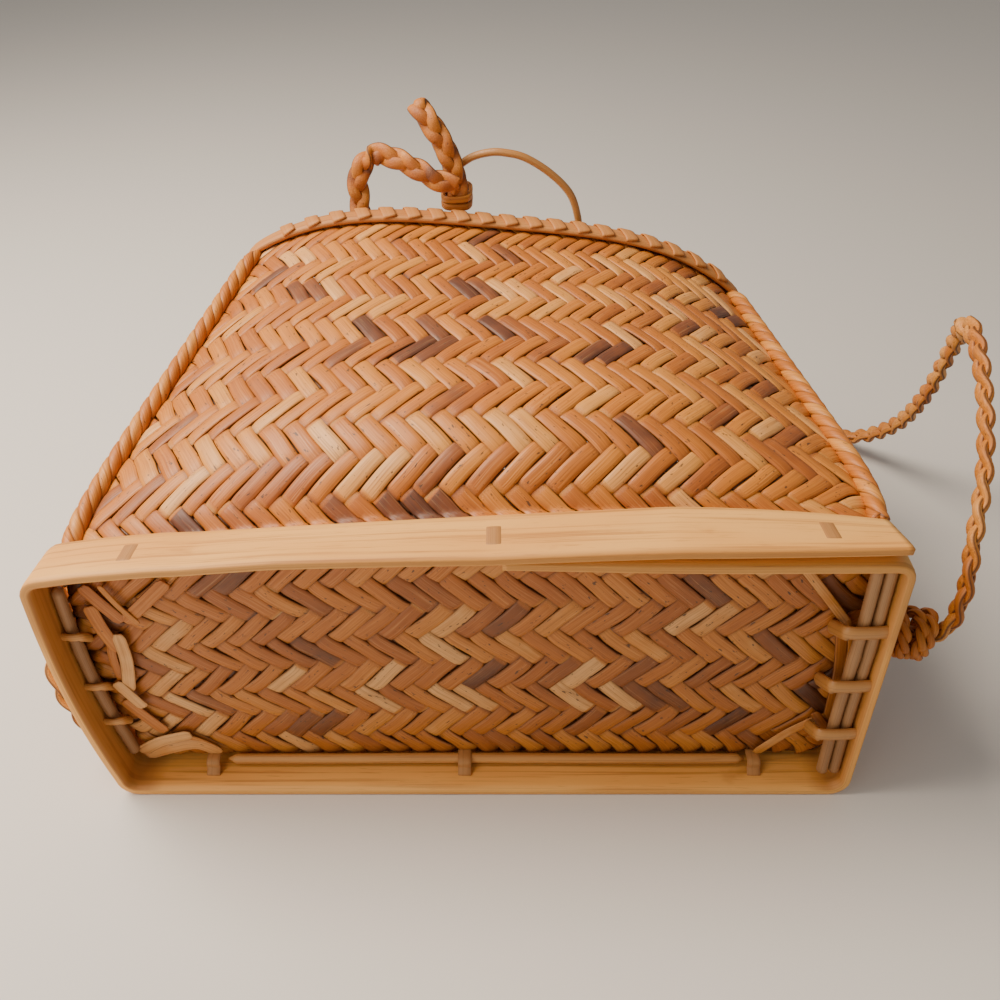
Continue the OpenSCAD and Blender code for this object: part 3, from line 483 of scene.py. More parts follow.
def wall_outward(u, t):
    """The wall's outward direction: across the steps along t and along u."""
    along_u = wall_point(u + 0.2, t) - wall_point(u - 0.2, t)
    along_t = wall_point(u, t + 0.5) - wall_point(u, t - 0.5)
    return unit(np.cross(along_t, along_u))


print("mouth corners:", section(WALL_STARTS, np.full(4, BASKET_L)).round(1).tolist())

# %% [markdown]
# ## The weave
# A three-over-three twill on the bias: one set of strands rises to the right, the other falls, and each
# goes over three strands and under three. Modelled as flat ridges it would look cast, so every strand is
# woven as one continuous ribbon. Lattice lines p and q number the two sets, with u = (p + q) / 2 and the
# level v = q - p. A strand's height is a wave along its length that stays up for three steps and down
# for three. Width and sideways drift vary a little from strand to strand, and roll and lift from float
# to float.

# %% Strands of the walls
STEPS = 4
STRAND_T = 1.3
STRAND_RISE = 0.58
STRAND_LAYER = -0.2
STRAND_WIDTH = 1.03
STRAND_EDGE = np.array([-0.5, -0.43, -0.24, 0.0, 0.24, 0.43, 0.5, 0.0])
STRAND_CROWN = np.array([-0.2, 0.28, 0.45, 0.5, 0.45, 0.28, -0.2, -0.5])
TWILL_LEVELS, RISING_START, FALLING_START, FLOAT_SQUARE = 6, 1.0, 4.0, 2.6
ROLL_SPREAD, LIFT_SPREAD, WIDTH_SPREAD, WANDER = 0.22, 0.07, 0.06, 0.07
TONE_MIDDLE, STRAND_SPREAD, FLOAT_SPREAD = 0.5, 0.12, 0.17
STAIN_SHARE, STAIN_PAIRS, PALE_FROM = 0.022, 0.7, 0.9
STAIN_TONES, PALE_TONES = (0, 0.13), (0.82, 1.0)
ROW_CLIMB, FRONT_CLIMB, LEFT_CLIMB = 11.0, 13.0, 8.0
CLIMB_START, CLIMB_STOP = 8, 12
row_depths = np.linspace(BASE_T + EDGE_ROUND, BASKET_L, 400)
row_line = wall_point(WALL_STARTS[2] + LONG / 2, row_depths)
row_run = np.concatenate([[0], np.cumsum(np.linalg.norm(np.diff(row_line, axis=0), axis=1))])
row_levels = row_run / row_run[-1] * (LEVELS + 1) - 1
print("height of a row of floats in mm:", 3 * row_run[-1] / (LEVELS + 1))


def level_depth(v, u):
    """Depth of lattice level v at u: levels are evenly spaced along the middle of the front wall, and the
    rows climb towards the front left corner, by ROW_CLIMB times a bump in u and a rise and fall in v."""
    away = np.mod(u - WALL_STARTS[3] + 0.5 + STRANDS / 2, STRANDS) - STRANDS / 2
    bump = np.clip(1 - np.abs(away) / np.where(away < 0, FRONT_CLIMB, LEFT_CLIMB), 0, 1) ** 2
    part = np.clip((v + 1) / CLIMB_START, 0, 1) * np.clip((LEVELS - v) / CLIMB_STOP, 0, 1)
    return np.interp(v, row_levels, row_depths) + ROW_CLIMB * bump * part


def float_wave(phase):
    """A wave of period 1 that is flat on top and below: tanh of a cosine."""
    return np.tanh(FLOAT_SQUARE * np.cos(2 * np.pi * phase)) / np.tanh(FLOAT_SQUARE)


def drift(strands, place, size):
    """A slow wander for each strand, from three sine waves with random starts."""
    starts = rng.uniform(0, 2 * np.pi, (strands, 3, 1))
    rates = np.array([0.35, 0.83, 1.7])[:, None]
    return size * np.sin(place[:, None] * rates + starts).mean(1)


def float_tones(strands, floats):
    """A tone for each float: mostly honey, some pale, and stained ones that often come in pairs."""
    strand = rng.normal(TONE_MIDDLE, STRAND_SPREAD, (strands, 1))
    tones = strand + rng.normal(0, FLOAT_SPREAD, (strands, floats))
    stain = rng.random((strands, floats)) < STAIN_SHARE
    stain = stain | (np.roll(stain, 1, 0) & (rng.random(stain.shape) < STAIN_PAIRS))
    pale = rng.random(tones.shape) > PALE_FROM
    tones = np.where(pale, rng.uniform(*PALE_TONES, tones.shape), tones)
    tones = np.where(stain, rng.uniform(*STAIN_TONES, tones.shape), tones)
    return np.clip(tones, 0, 1)


def ribbon(place, phase, surface, normal, loose=1.0, width=STRAND_WIDTH):
    """Rings of ribbons on a surface, with each ring's tone and lift; loose scales how uneven they are.

    place is the distance along each strand in lattice steps; surface and normal take place and the
    offset across. Height is the float wave plus the strand's crown, roll and own lift."""
    strands = len(place)
    wave = float_wave(phase)
    half = np.floor(2 * phase + 0.5).astype(int)
    half = half - half.min()
    floats = half.max() + 1
    rows = np.arange(strands)[:, None]
    tone = float_tones(strands, floats)[rows, half]
    roll = loose * rng.normal(0, ROLL_SPREAD, (strands, floats))[rows, half] * (0.5 + 0.5 * wave)
    own = loose * rng.normal(0, LIFT_SPREAD, (strands, floats))[rows, half]
    width = width * (1 - WIDTH_SPREAD * loose * rng.uniform(-0.4, 1, (strands, 1, 1)))
    wander = drift(strands, place, WANDER * loose)
    offset = wander[..., None] + width * STRAND_EDGE
    height = (STRAND_LAYER + STRAND_RISE * wave + own)[..., None] + STRAND_T * STRAND_CROWN
    height = height + roll[..., None] * STRAND_EDGE
    points = surface(place[..., None], offset)
    points = points + normal(place[..., None], offset) * height[..., None]
    return points, tone[..., None], wave[..., None]


def strand_phase(level, rising):
    """Where a strand is in its wave of six levels: the two sets rise in turn."""
    steps = level - RISING_START if rising else FALLING_START - level
    return steps / TWILL_LEVELS


def wall_strands(rising):
    """All strands of one set: a strand's number fixes p or q, and the level runs from base to rim."""
    stations = (LEVELS + 1) * STEPS + 1
    level = np.broadcast_to(np.linspace(-1, LEVELS, stations), (STRANDS, stations))
    middle = np.arange(STRANDS)[:, None, None] + 0.5
    turn = 1 if rising else -1

    def where(v, offset):
        """The other set's coordinate follows from the level, so both give u and a depth."""
        u = middle + turn * v / 2 + offset / 2
        return u, level_depth(v - turn * offset, u)

    return ribbon(level, strand_phase(level, rising), lambda v, o: wall_point(*where(v, o)),
                  lambda v, o: wall_outward(*where(v, o)))


for set_name, rising in (("rising_strands", True), ("falling_strands", False)):
    rings, tone, lift = wall_strands(rising)
    for half, part in (("back", slice(0, STRANDS // 2)), ("front", slice(STRANDS // 2, STRANDS))):
        tube_piece(half + "_" + set_name, rings[part], weave_finish, ["woven_body"],
                   tone=tone[part], lift=lift[part])

# %% [markdown]
# ## The base
# The base is the same twill, but its strands end at the four edges of the base. A place on it is (a, b)
# in half strands, and a patch stretched between the wall's four foot lines gives its X and Z. Its
# strands dip at the edges, where they turn up into the wall.

# %% Strands of the base
ACROSS, UPRIGHT = 2 * (LONG + 1), 2 * (END + 1)
FOOT_INSET, BASE_WIDTH = 0.6, 1.08
TUCK, TUCK_RUN = 1.8, 0.9
BASE_SHIFT, BASE_LOOSE, SHORTEST_STRAND = 3, 1.5, 1.5


def foot_edge(u):
    """The wall's foot line (x, z), a little inside the wall."""
    u = np.asarray(u, float)
    t = np.full(u.shape, BASE_T)
    p = wall_point(u, t) - FOOT_INSET * wall_outward(u, t)
    return p[..., [0, 2]]


def base_place(a, b):
    """A Coons patch: the two ways of blending opposite edges, less the blend of the corners."""
    a, b = np.broadcast_arrays(a, b)
    s, r = (a / ACROSS)[..., None], (b / UPRIGHT)[..., None]
    back, front = foot_edge(a / 2 - 0.5), foot_edge(2 * LONG + END + 2.5 - a / 2)
    left, right = foot_edge(STRANDS - 0.5 - b / 2), foot_edge(LONG + 0.5 + b / 2)
    corner = [foot_edge(np.array(u)) for u in (-0.5, LONG + 0.5, 2 * LONG + END + 2.5, LONG + END + 1.5)]
    low = corner[0] + (corner[1] - corner[0]) * s
    high = corner[2] + (corner[3] - corner[2]) * s
    p = back + (front - back) * r + left + (right - left) * s - (low + (high - low) * r)
    return np.stack([p[..., 0], np.full(a.shape, BASE_T - HALF_DEPTH), p[..., 1]], -1)


def base_strands(rising):
    """Strands of one set, each from where it enters the base to where it leaves."""
    middle = np.arange(-UPRIGHT // 2, (ACROSS + UPRIGHT) // 2 + 1) + 0.5
    if rising:
        first, last = np.maximum(0, -2 * middle), np.minimum(UPRIGHT, ACROSS - 2 * middle)
    else:
        first, last = np.maximum(0, 2 * middle - ACROSS), np.minimum(UPRIGHT, 2 * middle)
    kept = last - first > SHORTEST_STRAND
    middle, first, last = middle[kept, None], first[kept, None], last[kept, None]
    level = first + (last - first) * np.linspace(0, 1, UPRIGHT * STEPS + 1)
    turn = 1 if rising else -1
    tuck = TUCK * np.clip(1 - np.minimum(level - first, last - level) / TUCK_RUN, 0, 1) ** 2

    def where(b, offset):
        """a is twice the strand's number plus or minus the level; the offset moves both."""
        a = 2 * middle[..., None] + turn * b + offset
        return np.clip(a, 0, ACROSS), np.clip(b - turn * offset, 0, UPRIGHT)

    def inward(b, offset):
        return np.broadcast_to([0.0, -1.0, 0.0], np.broadcast(b, offset).shape + (3,))

    phase = strand_phase(level - BASE_SHIFT, rising)
    rings, tone, lift = ribbon(level, phase, lambda b, o: base_place(*where(b, o)), inward,
                               BASE_LOOSE, BASE_WIDTH)
    rings[..., 1] += tuck[..., None]
    return rings, tone, lift


for set_name, rising in (("base_rising_strands", True), ("base_falling_strands", False)):
    rings, tone, lift = base_strands(rising)
    tube_piece(set_name, rings, base_finish, ["woven_body"], tone=tone, lift=lift)

# %% [markdown]
# ## The foot ring
# One strip of split wood is bent round the base. Its inner end starts under the middle of the front,
# runs to the right bend, down, along the back, up the bowed left side and back over itself, and the outer
# end is cut off at the right bend. Its free edge stands up a little at the left, and its last stretch has
# twisted. So it is one bar swept along one open path, and a lift that depends on X and depth bends it.

# %% Bent strip
def left_x(z):
    """The left strip's outside face: a lean plus a bow."""
    s = z / RING_LEFT_H
    return -RING_W / 2 - LEFT_LEAN * s - LEFT_BOW * 4 * s * (1 - s)


def right_x(z):
    return RING_W / 2 - RIGHT_LEAN * z / RING_RIGHT_H


def front_z(x):
    """Height of the front strip's outside face: a sloping line plus an arch."""
    s = (x - FRONT_X0) / (FRONT_X1 - FRONT_X0)
    return RING_LEFT_H + (RING_RIGHT_H - RING_LEFT_H) * s + RING_BOW * 4 * s * (1 - s)


def arc(centre, r, start, stop, steps=10):
    """Points on a circle between two angles in degrees."""
    angle = np.radians(np.linspace(start, stop, steps))
    return np.stack([centre[0] + r * np.cos(angle), centre[1] + r * np.sin(angle)], -1)


LAP_L, LAP_GAP, LAP_BEND_R = 117.0, 0.4, 4.0
TWIST_RUN, TWIST_LIFT, TWIST_TURN = 70.0, 0.55, 3.15
EDGE_RISE, EDGE_RUN, OUTER_FADE = 2.8, 60.0, 25.0
STRIP_SAG, SAG_X, SAG_HALF, LAP_SAG = 2.4, -20.0, 75.0, 2.2
CORNER_RISE, CORNER_X, CORNER_RUN = 1.3, -85.0, 30
LAP_STOP, OVER_STOP = 4, 3.4
STRIP_STATIONS, STRIP_AROUND, STRIP_SQUARE = 460, 24, 9
# Where shade is painted on the ring: inner faces of its short sides, and the front strip's free edge.
INNER_SHARE, INNER_HALF, SHADE_X, SHADE_RUN = 0.25, 0.14, 112, 6
EDGE_SHARE, EDGE_HALF, EDGE_SHADE_Z, EDGE_SHADE_RUN, EDGE_SHADE_DEPTH = 0.5, 0.1, 70, 10, 0.7
LAP_END_X = FRONT_X1 - LAP_L
MID = RING_T / 2
LAP_N = 2 * RING_T + LAP_GAP
lap_mid = LAP_N - MID
bend = BEND_R - MID
lap_x = np.linspace(LAP_END_X, FRONT_X1 - BEND_R - LAP_STOP, 40)
over_x = np.linspace(left_x(RING_LEFT_H - BEND_R) + BEND_R, FRONT_X1 - OVER_STOP, 90)
over_z = front_z(over_x[0]) - BEND_R
lap_bend_z = front_z(FRONT_X1 - BEND_R) - lap_mid - LAP_BEND_R
side_z = np.linspace(BEND_R, over_z, 24)[1:-1]
strip_line = np.concatenate([
    np.stack([lap_x, front_z(lap_x) - lap_mid], -1),
    arc((right_x(lap_bend_z) - MID - LAP_BEND_R, lap_bend_z), LAP_BEND_R, 90, 0),
    arc((right_x(BEND_R) - BEND_R, BEND_R), bend, 0, -90),
    arc((left_x(BEND_R) + BEND_R, BEND_R), bend, 270, 180),
    np.stack([left_x(side_z) + MID, side_z], -1),
    arc((over_x[0], over_z), bend, 180, 90),
    np.stack([over_x, front_z(over_x) - MID], -1)])
strip_line = even(strip_line, STRIP_STATIONS)
strip_path = np.stack([strip_line[:, 0], np.zeros(len(strip_line)), strip_line[:, 1]], -1)
strip_bar = rounded_bar(RING_DEPTH, RING_T, STRIP_SQUARE, STRIP_AROUND)
strip = sweep(strip_path, (0, 1, 0), strip_bar)
strip_steps = np.linalg.norm(np.diff(strip_line[::-1], axis=0), axis=1)
from_end = np.concatenate([[0], np.cumsum(strip_steps)])[::-1]


def strip_lift(points):
    """How the outer front strip departs from its arch: a rise of its free edge at the left, a sag near
    the middle, a rise at the left bend and a twist over its last stretch."""
    x, edge = points[..., 0], points[..., 1] / HALF_DEPTH
    rise = EDGE_RISE * np.clip(-x / EDGE_RUN, 0, 1) * (1 - edge) / 2
    sag = STRIP_SAG * np.clip(1 - ((x - SAG_X) / SAG_HALF) ** 2, 0, 1) * (0.8 + 0.2 * edge)
    corner = CORNER_RISE * np.clip((CORNER_X - x) / CORNER_RUN, 0, 1)
    twist = np.clip(1 - (over_x[-1] - x) / TWIST_RUN, 0, 1) ** 2
    return rise - sag + corner + twist * (TWIST_LIFT - TWIST_TURN * edge)


outer_run = over_x[-1] - over_x[0] + 2 * BEND_R + OUTER_FADE
strip[..., 2] += np.clip((outer_run - from_end) / OUTER_FADE, 0, 1)[:, None] * strip_lift(strip)
lap_share = np.clip((from_end[0] - from_end) / (LAP_L - BEND_R), 0, 1)
strip[..., 2] -= LAP_SAG * np.sin(np.pi * lap_share)[:, None]
round_share = np.arange(STRIP_AROUND) / STRIP_AROUND
# Painted shade: inner faces of the short sides and the front strip's free edge, passed on as the lift
# attribute.
on_ends = np.clip((np.abs(strip_line[:, :1]) - SHADE_X) / SHADE_RUN, 0, 1)
shaded = (np.abs(round_share - INNER_SHARE) < INNER_HALF) * on_ends
on_front = np.clip((strip_line[:, 1:] - EDGE_SHADE_Z) / EDGE_SHADE_RUN, 0, 1)
painted_edge_shade = (np.abs(round_share - EDGE_SHARE) < EDGE_HALF) * on_front
tube_piece("ring_strip", strip[None], ring_finish, ["foot_ring"],
           lift=(shaded + EDGE_SHADE_DEPTH * painted_edge_shade)[None])

# %% [markdown]
# ## Canes and stitches
# Round canes lie inside the ring, two on the right near its free edge, one on the left and a thin one
# along the back on the edge of the base. Stitches of cane go through the strip, over the canes and into
# the weave. On the long strips they are flat and let into the wood; on the ends they stand over the canes.

# %% Round canes
CANE_R, BACK_CANE_R, BACK_CANE_RISE, BACK_CANE_SWELL = 1.9, 1.6, 1.0, 0.2
BACK_CANE_HALF, LEFT_CANE_RAISE, CANE_STATIONS = 91, 1.5, 70
WAVER, BLUNT_RUN, JOINT_SWELL, JOINT_RUN = 0.25, 1.2, 0.08, 2.5
CANE_T, RIGHT_CANE_T = BASE_T - RELIEF - FIT - CANE_R, 4.8


def cane_rings(path, r):
    """A round cane along a path, with blunt ends, a slight waver and a swollen joint."""
    s = np.linspace(0, 1, len(path))[:, None]
    path = path + WAVER * np.sin(2 * np.pi * (s * 1.3 + rng.random())) * np.array([0.3, -1, 0.3])
    length = np.linalg.norm(path[-1] - path[0])
    blunt = np.sqrt(np.clip(np.minimum(s, 1 - s) * length / BLUNT_RUN, 0.04, 1))
    joint = JOINT_SWELL * np.exp(-((s - rng.uniform(0.3, 0.7)) * length / JOINT_RUN) ** 2)
    return sweep(path, (0.3, 1, 0.2), oval(r, r, 12) * (blunt + joint)[..., None])


def beside_strip(edge_x, z, n, t):
    """Points n inside a strip whose outside face is edge_x(z), square to the strip, at depth t."""
    slope = (edge_x(z + 0.5) - edge_x(z - 0.5)) * np.sign(edge_x(z))
    way = unit(np.stack([-np.sign(edge_x(z)), slope], -1))
    return np.stack([edge_x(z) + n * way[:, 0], np.full(len(z), t - HALF_DEPTH), z + n * way[:, 1]], -1)


cane_clear = BEND_R + FIT
first_n = RING_T + FIT + CANE_R
second_n = first_n + FIT + 2 * CANE_R
left_span = np.linspace(cane_clear + LEFT_CANE_RAISE, RING_LEFT_H - cane_clear, CANE_STATIONS)
right_span = np.linspace(cane_clear, RING_RIGHT_H - LAP_N - FIT, CANE_STATIONS)
for cane_name, edge, span, n, t in (("left_cane", left_x, left_span, first_n, CANE_T),
                                    ("right_cane_outer", right_x, right_span, first_n, RIGHT_CANE_T),
                                    ("right_cane_inner", right_x, right_span, second_n, RIGHT_CANE_T)):
    rings = cane_rings(beside_strip(edge, span, n, t), CANE_R)
    tube_piece("round_" + cane_name, rings[None], cane_finish, [cane_name])
back_cane_x = np.linspace(-BACK_CANE_HALF, BACK_CANE_HALF, CANE_STATIONS)
back_y = BASE_T - RELIEF - FIT - BACK_CANE_R - HALF_DEPTH
back_z = RING_T + FIT + BACK_CANE_R + BACK_CANE_RISE
back_path = np.stack([back_cane_x, np.full(CANE_STATIONS, back_y), np.full(CANE_STATIONS, back_z)], -1)
rings = cane_rings(back_path, BACK_CANE_R + BACK_CANE_SWELL)
tube_piece("round_back_cane", rings[None], pale_cane_finish, ["back_cane"])

# %% [markdown]
# A stitch is a bar of cane along a line in two measures: n, the way in from the strip's outside face, and
# t, the depth. The same line serves all four strips, with other sizes and another way in. A row of depths
# says where the stitch enters the strip and where it ends, how deep it crosses the canes and how far it
# drops on its way from there to the weave.

# %% Stitches
FRONT_STITCH_X = RING_W * np.array([-0.41, 0.012, 0.392])
BACK_STITCH_X = RING_W * np.array([-0.38, -0.03, 0.373])
LEFT_STITCH_Z = RING_LEFT_H * np.array([0.73, 0.485, 0.3])
RIGHT_STITCH_RISE = 3.0
RIGHT_STITCH_Z = RING_RIGHT_H * np.array([0.69, 0.47, 0.255]) + RIGHT_STITCH_RISE
LONG_REACH, LEFT_REACH, RIGHT_REACH = 3.8, 5.2, 11.0
FRONT_SINK, BACK_SINK, END_SINK = 0.28, 0.42, 0.5
DEEP_STITCH = (5.8, 14.8, CANE_T - CANE_R - 0.7, 0.0)
END_STITCH = (8.0, 14.8, CANE_T - CANE_R - 0.6, 6.5)
SHALLOW_STITCH = (1.8, 11.0, RIGHT_CANE_T - CANE_R - 0.7, 9.0)


def stitch_line(face_n, reach, sink, depths):
    """A stitch's line in (n, t): flat on the outside face, through the strip, over the canes, down."""
    t0, t1, over, _ = depths
    far = face_n + reach
    return spline([(0.5, t1), (sink, t1 - 0.8), (sink, (t0 + t1) / 2), (sink, t0 + 0.9), (0.8, t0 + 0.3),
                   (face_n - 0.4, t0 + 0.4), (face_n + 0.6, t0 + 0.4), (face_n + 0.5 * reach, over - 0.3),
                   (far, over), (far + 0.9, over + 1.6), (far + 0.8, BASE_T - 0.6)], 48)


def stitch_rings(at, way, face_n, reach, profile, sink, depths):
    """Carries the stitch's section along its line, set on a strip at a point with its way in.

    The last of depths is how far the stitch drops while it goes from over the canes to the weave."""
    line = stitch_line(face_n, reach, sink, depths)
    spot = np.asarray(at) + line[:, :1] * way
    inside = np.clip((line[:, 0] - face_n) / reach, 0, 1)
    spot[:, 1] -= depths[3] * inside * np.clip((line[:, 1] - depths[2]) / (BASE_T - depths[2]), 0, 1)
    path = np.stack([spot[:, 0], line[:, 1] - HALF_DEPTH, spot[:, 1]], -1)
    return sweep(path, (-way[1], 0, way[0]), profile)


def front_way(x):
    """Square to the front strip, inwards."""
    return unit(np.array([front_z(x + 0.5) - front_z(x - 0.5), -1.0]))


def left_way(z):
    """Square to the left strip, inwards."""
    return unit(np.array([1.0, left_x(z - 0.5) - left_x(z + 0.5)]))


right_way = unit(np.array([-RING_RIGHT_H, -RIGHT_LEAN]))
flat_bar, left_bar, right_bar = rounded_bar(4.7, 0.8, 5, 12), oval(1.4, 0.8, 12), oval(2.6, 1.2, 12)
front_rings = np.array([stitch_rings((x, front_z(x)), front_way(x), LAP_N if x > LAP_END_X else RING_T,
                                     LONG_REACH, flat_bar, FRONT_SINK, DEEP_STITCH)
                        for x in FRONT_STITCH_X])
front_rings[..., 2] += strip_lift(front_rings)
back_way = np.array([0.0, 1.0])
back_rings = [stitch_rings((x, 0), back_way, RING_T, LONG_REACH, flat_bar, BACK_SINK, DEEP_STITCH)
              for x in BACK_STITCH_X]
left_rings = [stitch_rings((left_x(z), z), left_way(z), RING_T, LEFT_REACH, left_bar, END_SINK,
                           END_STITCH) for z in LEFT_STITCH_Z]
right_rings = [stitch_rings((right_x(z), z), right_way, RING_T, RIGHT_REACH, right_bar, END_SINK,
                            SHALLOW_STITCH) for z in RIGHT_STITCH_Z]
tube_piece("front_stitches", front_rings, stitch_finish, ["front_lashings"])
tube_piece("back_stitches", back_rings, stitch_finish, ["back_lashings"])
tube_piece("left_stitches", left_rings, pale_cane_finish, ["left_lashings"])
tube_piece("right_stitches", right_rings, honey_finish, ["right_lashings"])

# %% [markdown]
# ## Loose strands on the base
# At the two ends of the base a strand is bent round to finish the weave, and a few split ends lie beside
# it. They are flat and tapered at their ends, and a layer sets how far each lies in front of the base. A
# row holds a strand's X and Z points, its width, its layer and its tone.

# %% Edge strands
LOOSE_T, LAYER_STEP, LOOSE_HUMP, LOOSE_STATIONS = 0.6, 0.6, 0.4, 40
TIP_SHARE, TIP_RATE = 0.6, 6


def edge_strand(points, width, layer):
    """A flat ribbon through X and Z points, just in front of the base's floats, tapered at both ends."""
    line = spline(points, LOOSE_STATIONS)
    y = BASE_T - RELIEF - FIT - LOOSE_T / 2 - LAYER_STEP * layer - HALF_DEPTH
    s = np.linspace(0, 1, LOOSE_STATIONS)
    hump = LOOSE_HUMP * np.sin(np.pi * s)
    path = np.stack([line[:, 0], y - hump, line[:, 1]], -1)
    taper = np.clip(np.minimum(s, 1 - s) * TIP_RATE + TIP_SHARE, 0, 1)[:, None, None]
    scale = np.concatenate([np.ones(taper.shape), taper], -1)
    return sweep(path, (0, 1, 0), rounded_bar(LOOSE_T, width, 4, 12) * scale)


LEFT_LOOSE = [([(-121.4, 89), (-117, 82), (-112.4, 74)], 4.7, 1, 0.42),
              ([(-115.5, 90), (-111.3, 81.2), (-107.2, 73.6)], 2.0, 2, 0.78),
              ([(-95.4, 90.8), (-104.1, 82), (-111.6, 74)], 4.8, 1, 0.55),
              ([(-121, 81), (-119.3, 71.5), (-116.6, 61)], 4.8, 1.5, 0.62),
              ([(-117.6, 68), (-119.4, 57.7), (-119.2, 45)], 3.0, 0.5, 0.5),
              ([(-115, 69), (-115, 56.8), (-117.6, 42)], 4.4, 2, 0.94),
              ([(-121, 46.5), (-117.6, 40.6), (-114.6, 34)], 4.2, 2.5, 1.0),
              ([(-121, 36.4), (-115.7, 28.6), (-110.6, 20)], 4.6, 1, 0.55),
              ([(-121.5, 9), (-113, 15.2), (-102, 18.5)], 5.0, 1.4, 0.97),
              ([(-120, 6.6), (-110, 11), (-101, 13), (-93.5, 8)], 5.0, 1.0, 0.93),
              ([(-109, 17.5), (-101, 15.5), (-94, 9.5)], 3.2, 0.6, 0.8)]
RIGHT_LOOSE = [([(91.8, 101), (101.9, 88), (113.4, 72.8)], 3.2, 1.5, 0.9),
               ([(110.3, 78.2), (114.7, 52.9), (117, 22.5)], 3.8, 0.5, 0.6),
               ([(111.6, 76.9), (115.8, 63.8), (116.8, 51.4)], 1.8, 1.5, 0.75),
               ([(94.8, 8.1), (104.4, 20.3), (115.2, 28.7)], 3.8, 1, 0.88),
               ([(111, 30.5), (116.4, 23), (120, 17)], 3.4, 1.5, 0.45)]
for side, rows in (("left", LEFT_LOOSE), ("right", RIGHT_LOOSE)):
    strands = [edge_strand(points, width, layer) for points, width, layer, _ in rows]
    tone = np.array([row[-1] for row in rows])[:, None, None]
    tube_piece(side + "_bent_strands", strands, loose_finish, [side + "_edge_strand"],
               tone=tone, lift=1.0)

# %% [markdown]
# ## Corner ribs
# Along each corner the strands' ends are laid into a rope. A rope is a few strands that wind round a
# common line, so each rib is three helices of flattened strand, and their lumps lean as the real ones do.
# At the top they thin out under the rim.

# %% Ribs
RIB_TURN, RIB_CORE, RIB_STRAND, RIB_STAND = 21.0, 1.5, (2.2, 1.6), 3.1
RIB_START, RIB_OVERRUN, RIB_STATIONS = 1.2, 1.5, 170
RIB_THIN, THIN_START, THIN_RUN = 0.45, 9, 10


def rib_rings(corner):
    """Three helices round the corner's line: core radius times the turning direction, plus the line."""
    t = np.linspace(RING_DEPTH + RIB_START, COLLAR_T + RIB_OVERRUN, RIB_STATIONS)
    u = np.full(t.shape, WALL_STARTS[corner] - 0.5)
    out = crosswise(unit(section(u + 0.25, t) - section(u - 0.25, t)))
    thin = 1 - RIB_THIN * np.clip((t - COLLAR_T + THIN_START) / THIN_RUN, 0, 1) ** 2
    spot = section(u, t) + out * (RIB_STAND * thin)[:, None]
    line = np.stack([spot[:, 0], t - HALF_DEPTH, spot[:, 1]], -1)
    along = np.cumsum(np.linalg.norm(np.gradient(line, axis=0), axis=1))
    angle = 2 * np.pi * (along / RIB_TURN + np.arange(3)[:, None] / 3)
    flat, upright = path_frame(line, (1, 0, 0))
    turned = flat * np.cos(angle)[..., None] + upright * np.sin(angle)[..., None]
    ropes = line + RIB_CORE * thin[:, None] * turned
    return sweep(ropes, np.cross(turned, [0, 1, 0]), oval(*RIB_STRAND, 8) * thin[:, None, None])


RIB_NAMES = ("back_left_rib", "back_right_rib", "front_right_rib", "front_left_rib")
for corner, rib_name in enumerate(RIB_NAMES):
    tone = rng.uniform(0.3, 0.85, (3, 1, 1))
    tube_piece("rope_" + rib_name, rib_rings(corner), rib_finish, [rib_name], tone=tone, lift=1.0)

# %% [markdown]
# ## The rim
# Two hoops clamp the top of the wall, one outside and one inside. Close turns of flat cane slant over
# both and bind them.

# %% Hoops and binding
LONG_TURNS, END_TURNS, TURN_W, TURN_T = 19, 9, 5.4, 1.0
TURN_BAR_T, TURN_CLEAR, TURN_SLANT, TURN_STATIONS = 0.9, 0.35, 0.65, 40


def hoop_rings(offset):
    """A flat bar carried round the wall's collar, offset outwards by a distance in mm."""
    u = np.linspace(0, STRANDS, 370, endpoint=False)
    t = np.full(u.shape, BASKET_L - HOOP_H / 2)
    line = wall_point(u, t) + offset * wall_outward(u, t)
    return sweep(line, (0, 1, 0), rounded_bar(HOOP_H - FIT, HOOP_T, 3, 14), closed=True)


outer_offset = RELIEF + FIT + HOOP_T / 2
inner_offset = -WALL_T - FIT - HOOP_T / 2
for hoop_name, offset in (("outer_hoop", outer_offset), ("inner_hoop", inner_offset)):
    tube_piece(hoop_name, hoop_rings(offset)[None], hoop_finish, ["rim_" + hoop_name], True)


def binding_rings(places):
    """A flat cane over both hoops: a square-cornered arch of (offset, depth), slanting along the rim."""
    out, back = outer_offset + HOOP_T / 2 + TURN_CLEAR, inner_offset - HOOP_T / 2 - TURN_CLEAR
    foot, top = BASKET_L - HOOP_H + 0.3, BASKET_L + 0.5
    arch = spline([(out - 0.8, foot), (out, foot + 1.5), (out, top - 2), (out - 2, top), (back + 2, top),
                   (back, top - 2), (back, foot + 1.5), (back + 0.8, foot)], TURN_STATIONS)
    u = places[:, None] + np.linspace(-TURN_SLANT, TURN_SLANT, TURN_STATIONS)
    t = np.full(u.shape, BASKET_L - 1.0)
    path = wall_point(u, t) + arch[:, :1] * wall_outward(u, t)
    path[..., 1] = arch[:, 1] - HALF_DEPTH
    side = unit(wall_point(u + 0.2, t) - wall_point(u - 0.2, t))
    return sweep(path, side, rounded_bar(TURN_W, TURN_BAR_T, 3, 10))


turn_places = np.concatenate([WALL_STARTS[i] + WALL_COUNTS[i] * (np.arange(n) + 0.5) / n
                              for i, n in enumerate((LONG_TURNS, END_TURNS, LONG_TURNS, END_TURNS))])
tube_piece("rim_turns", binding_rings(turn_places), hoop_finish, ["rim_binding"])

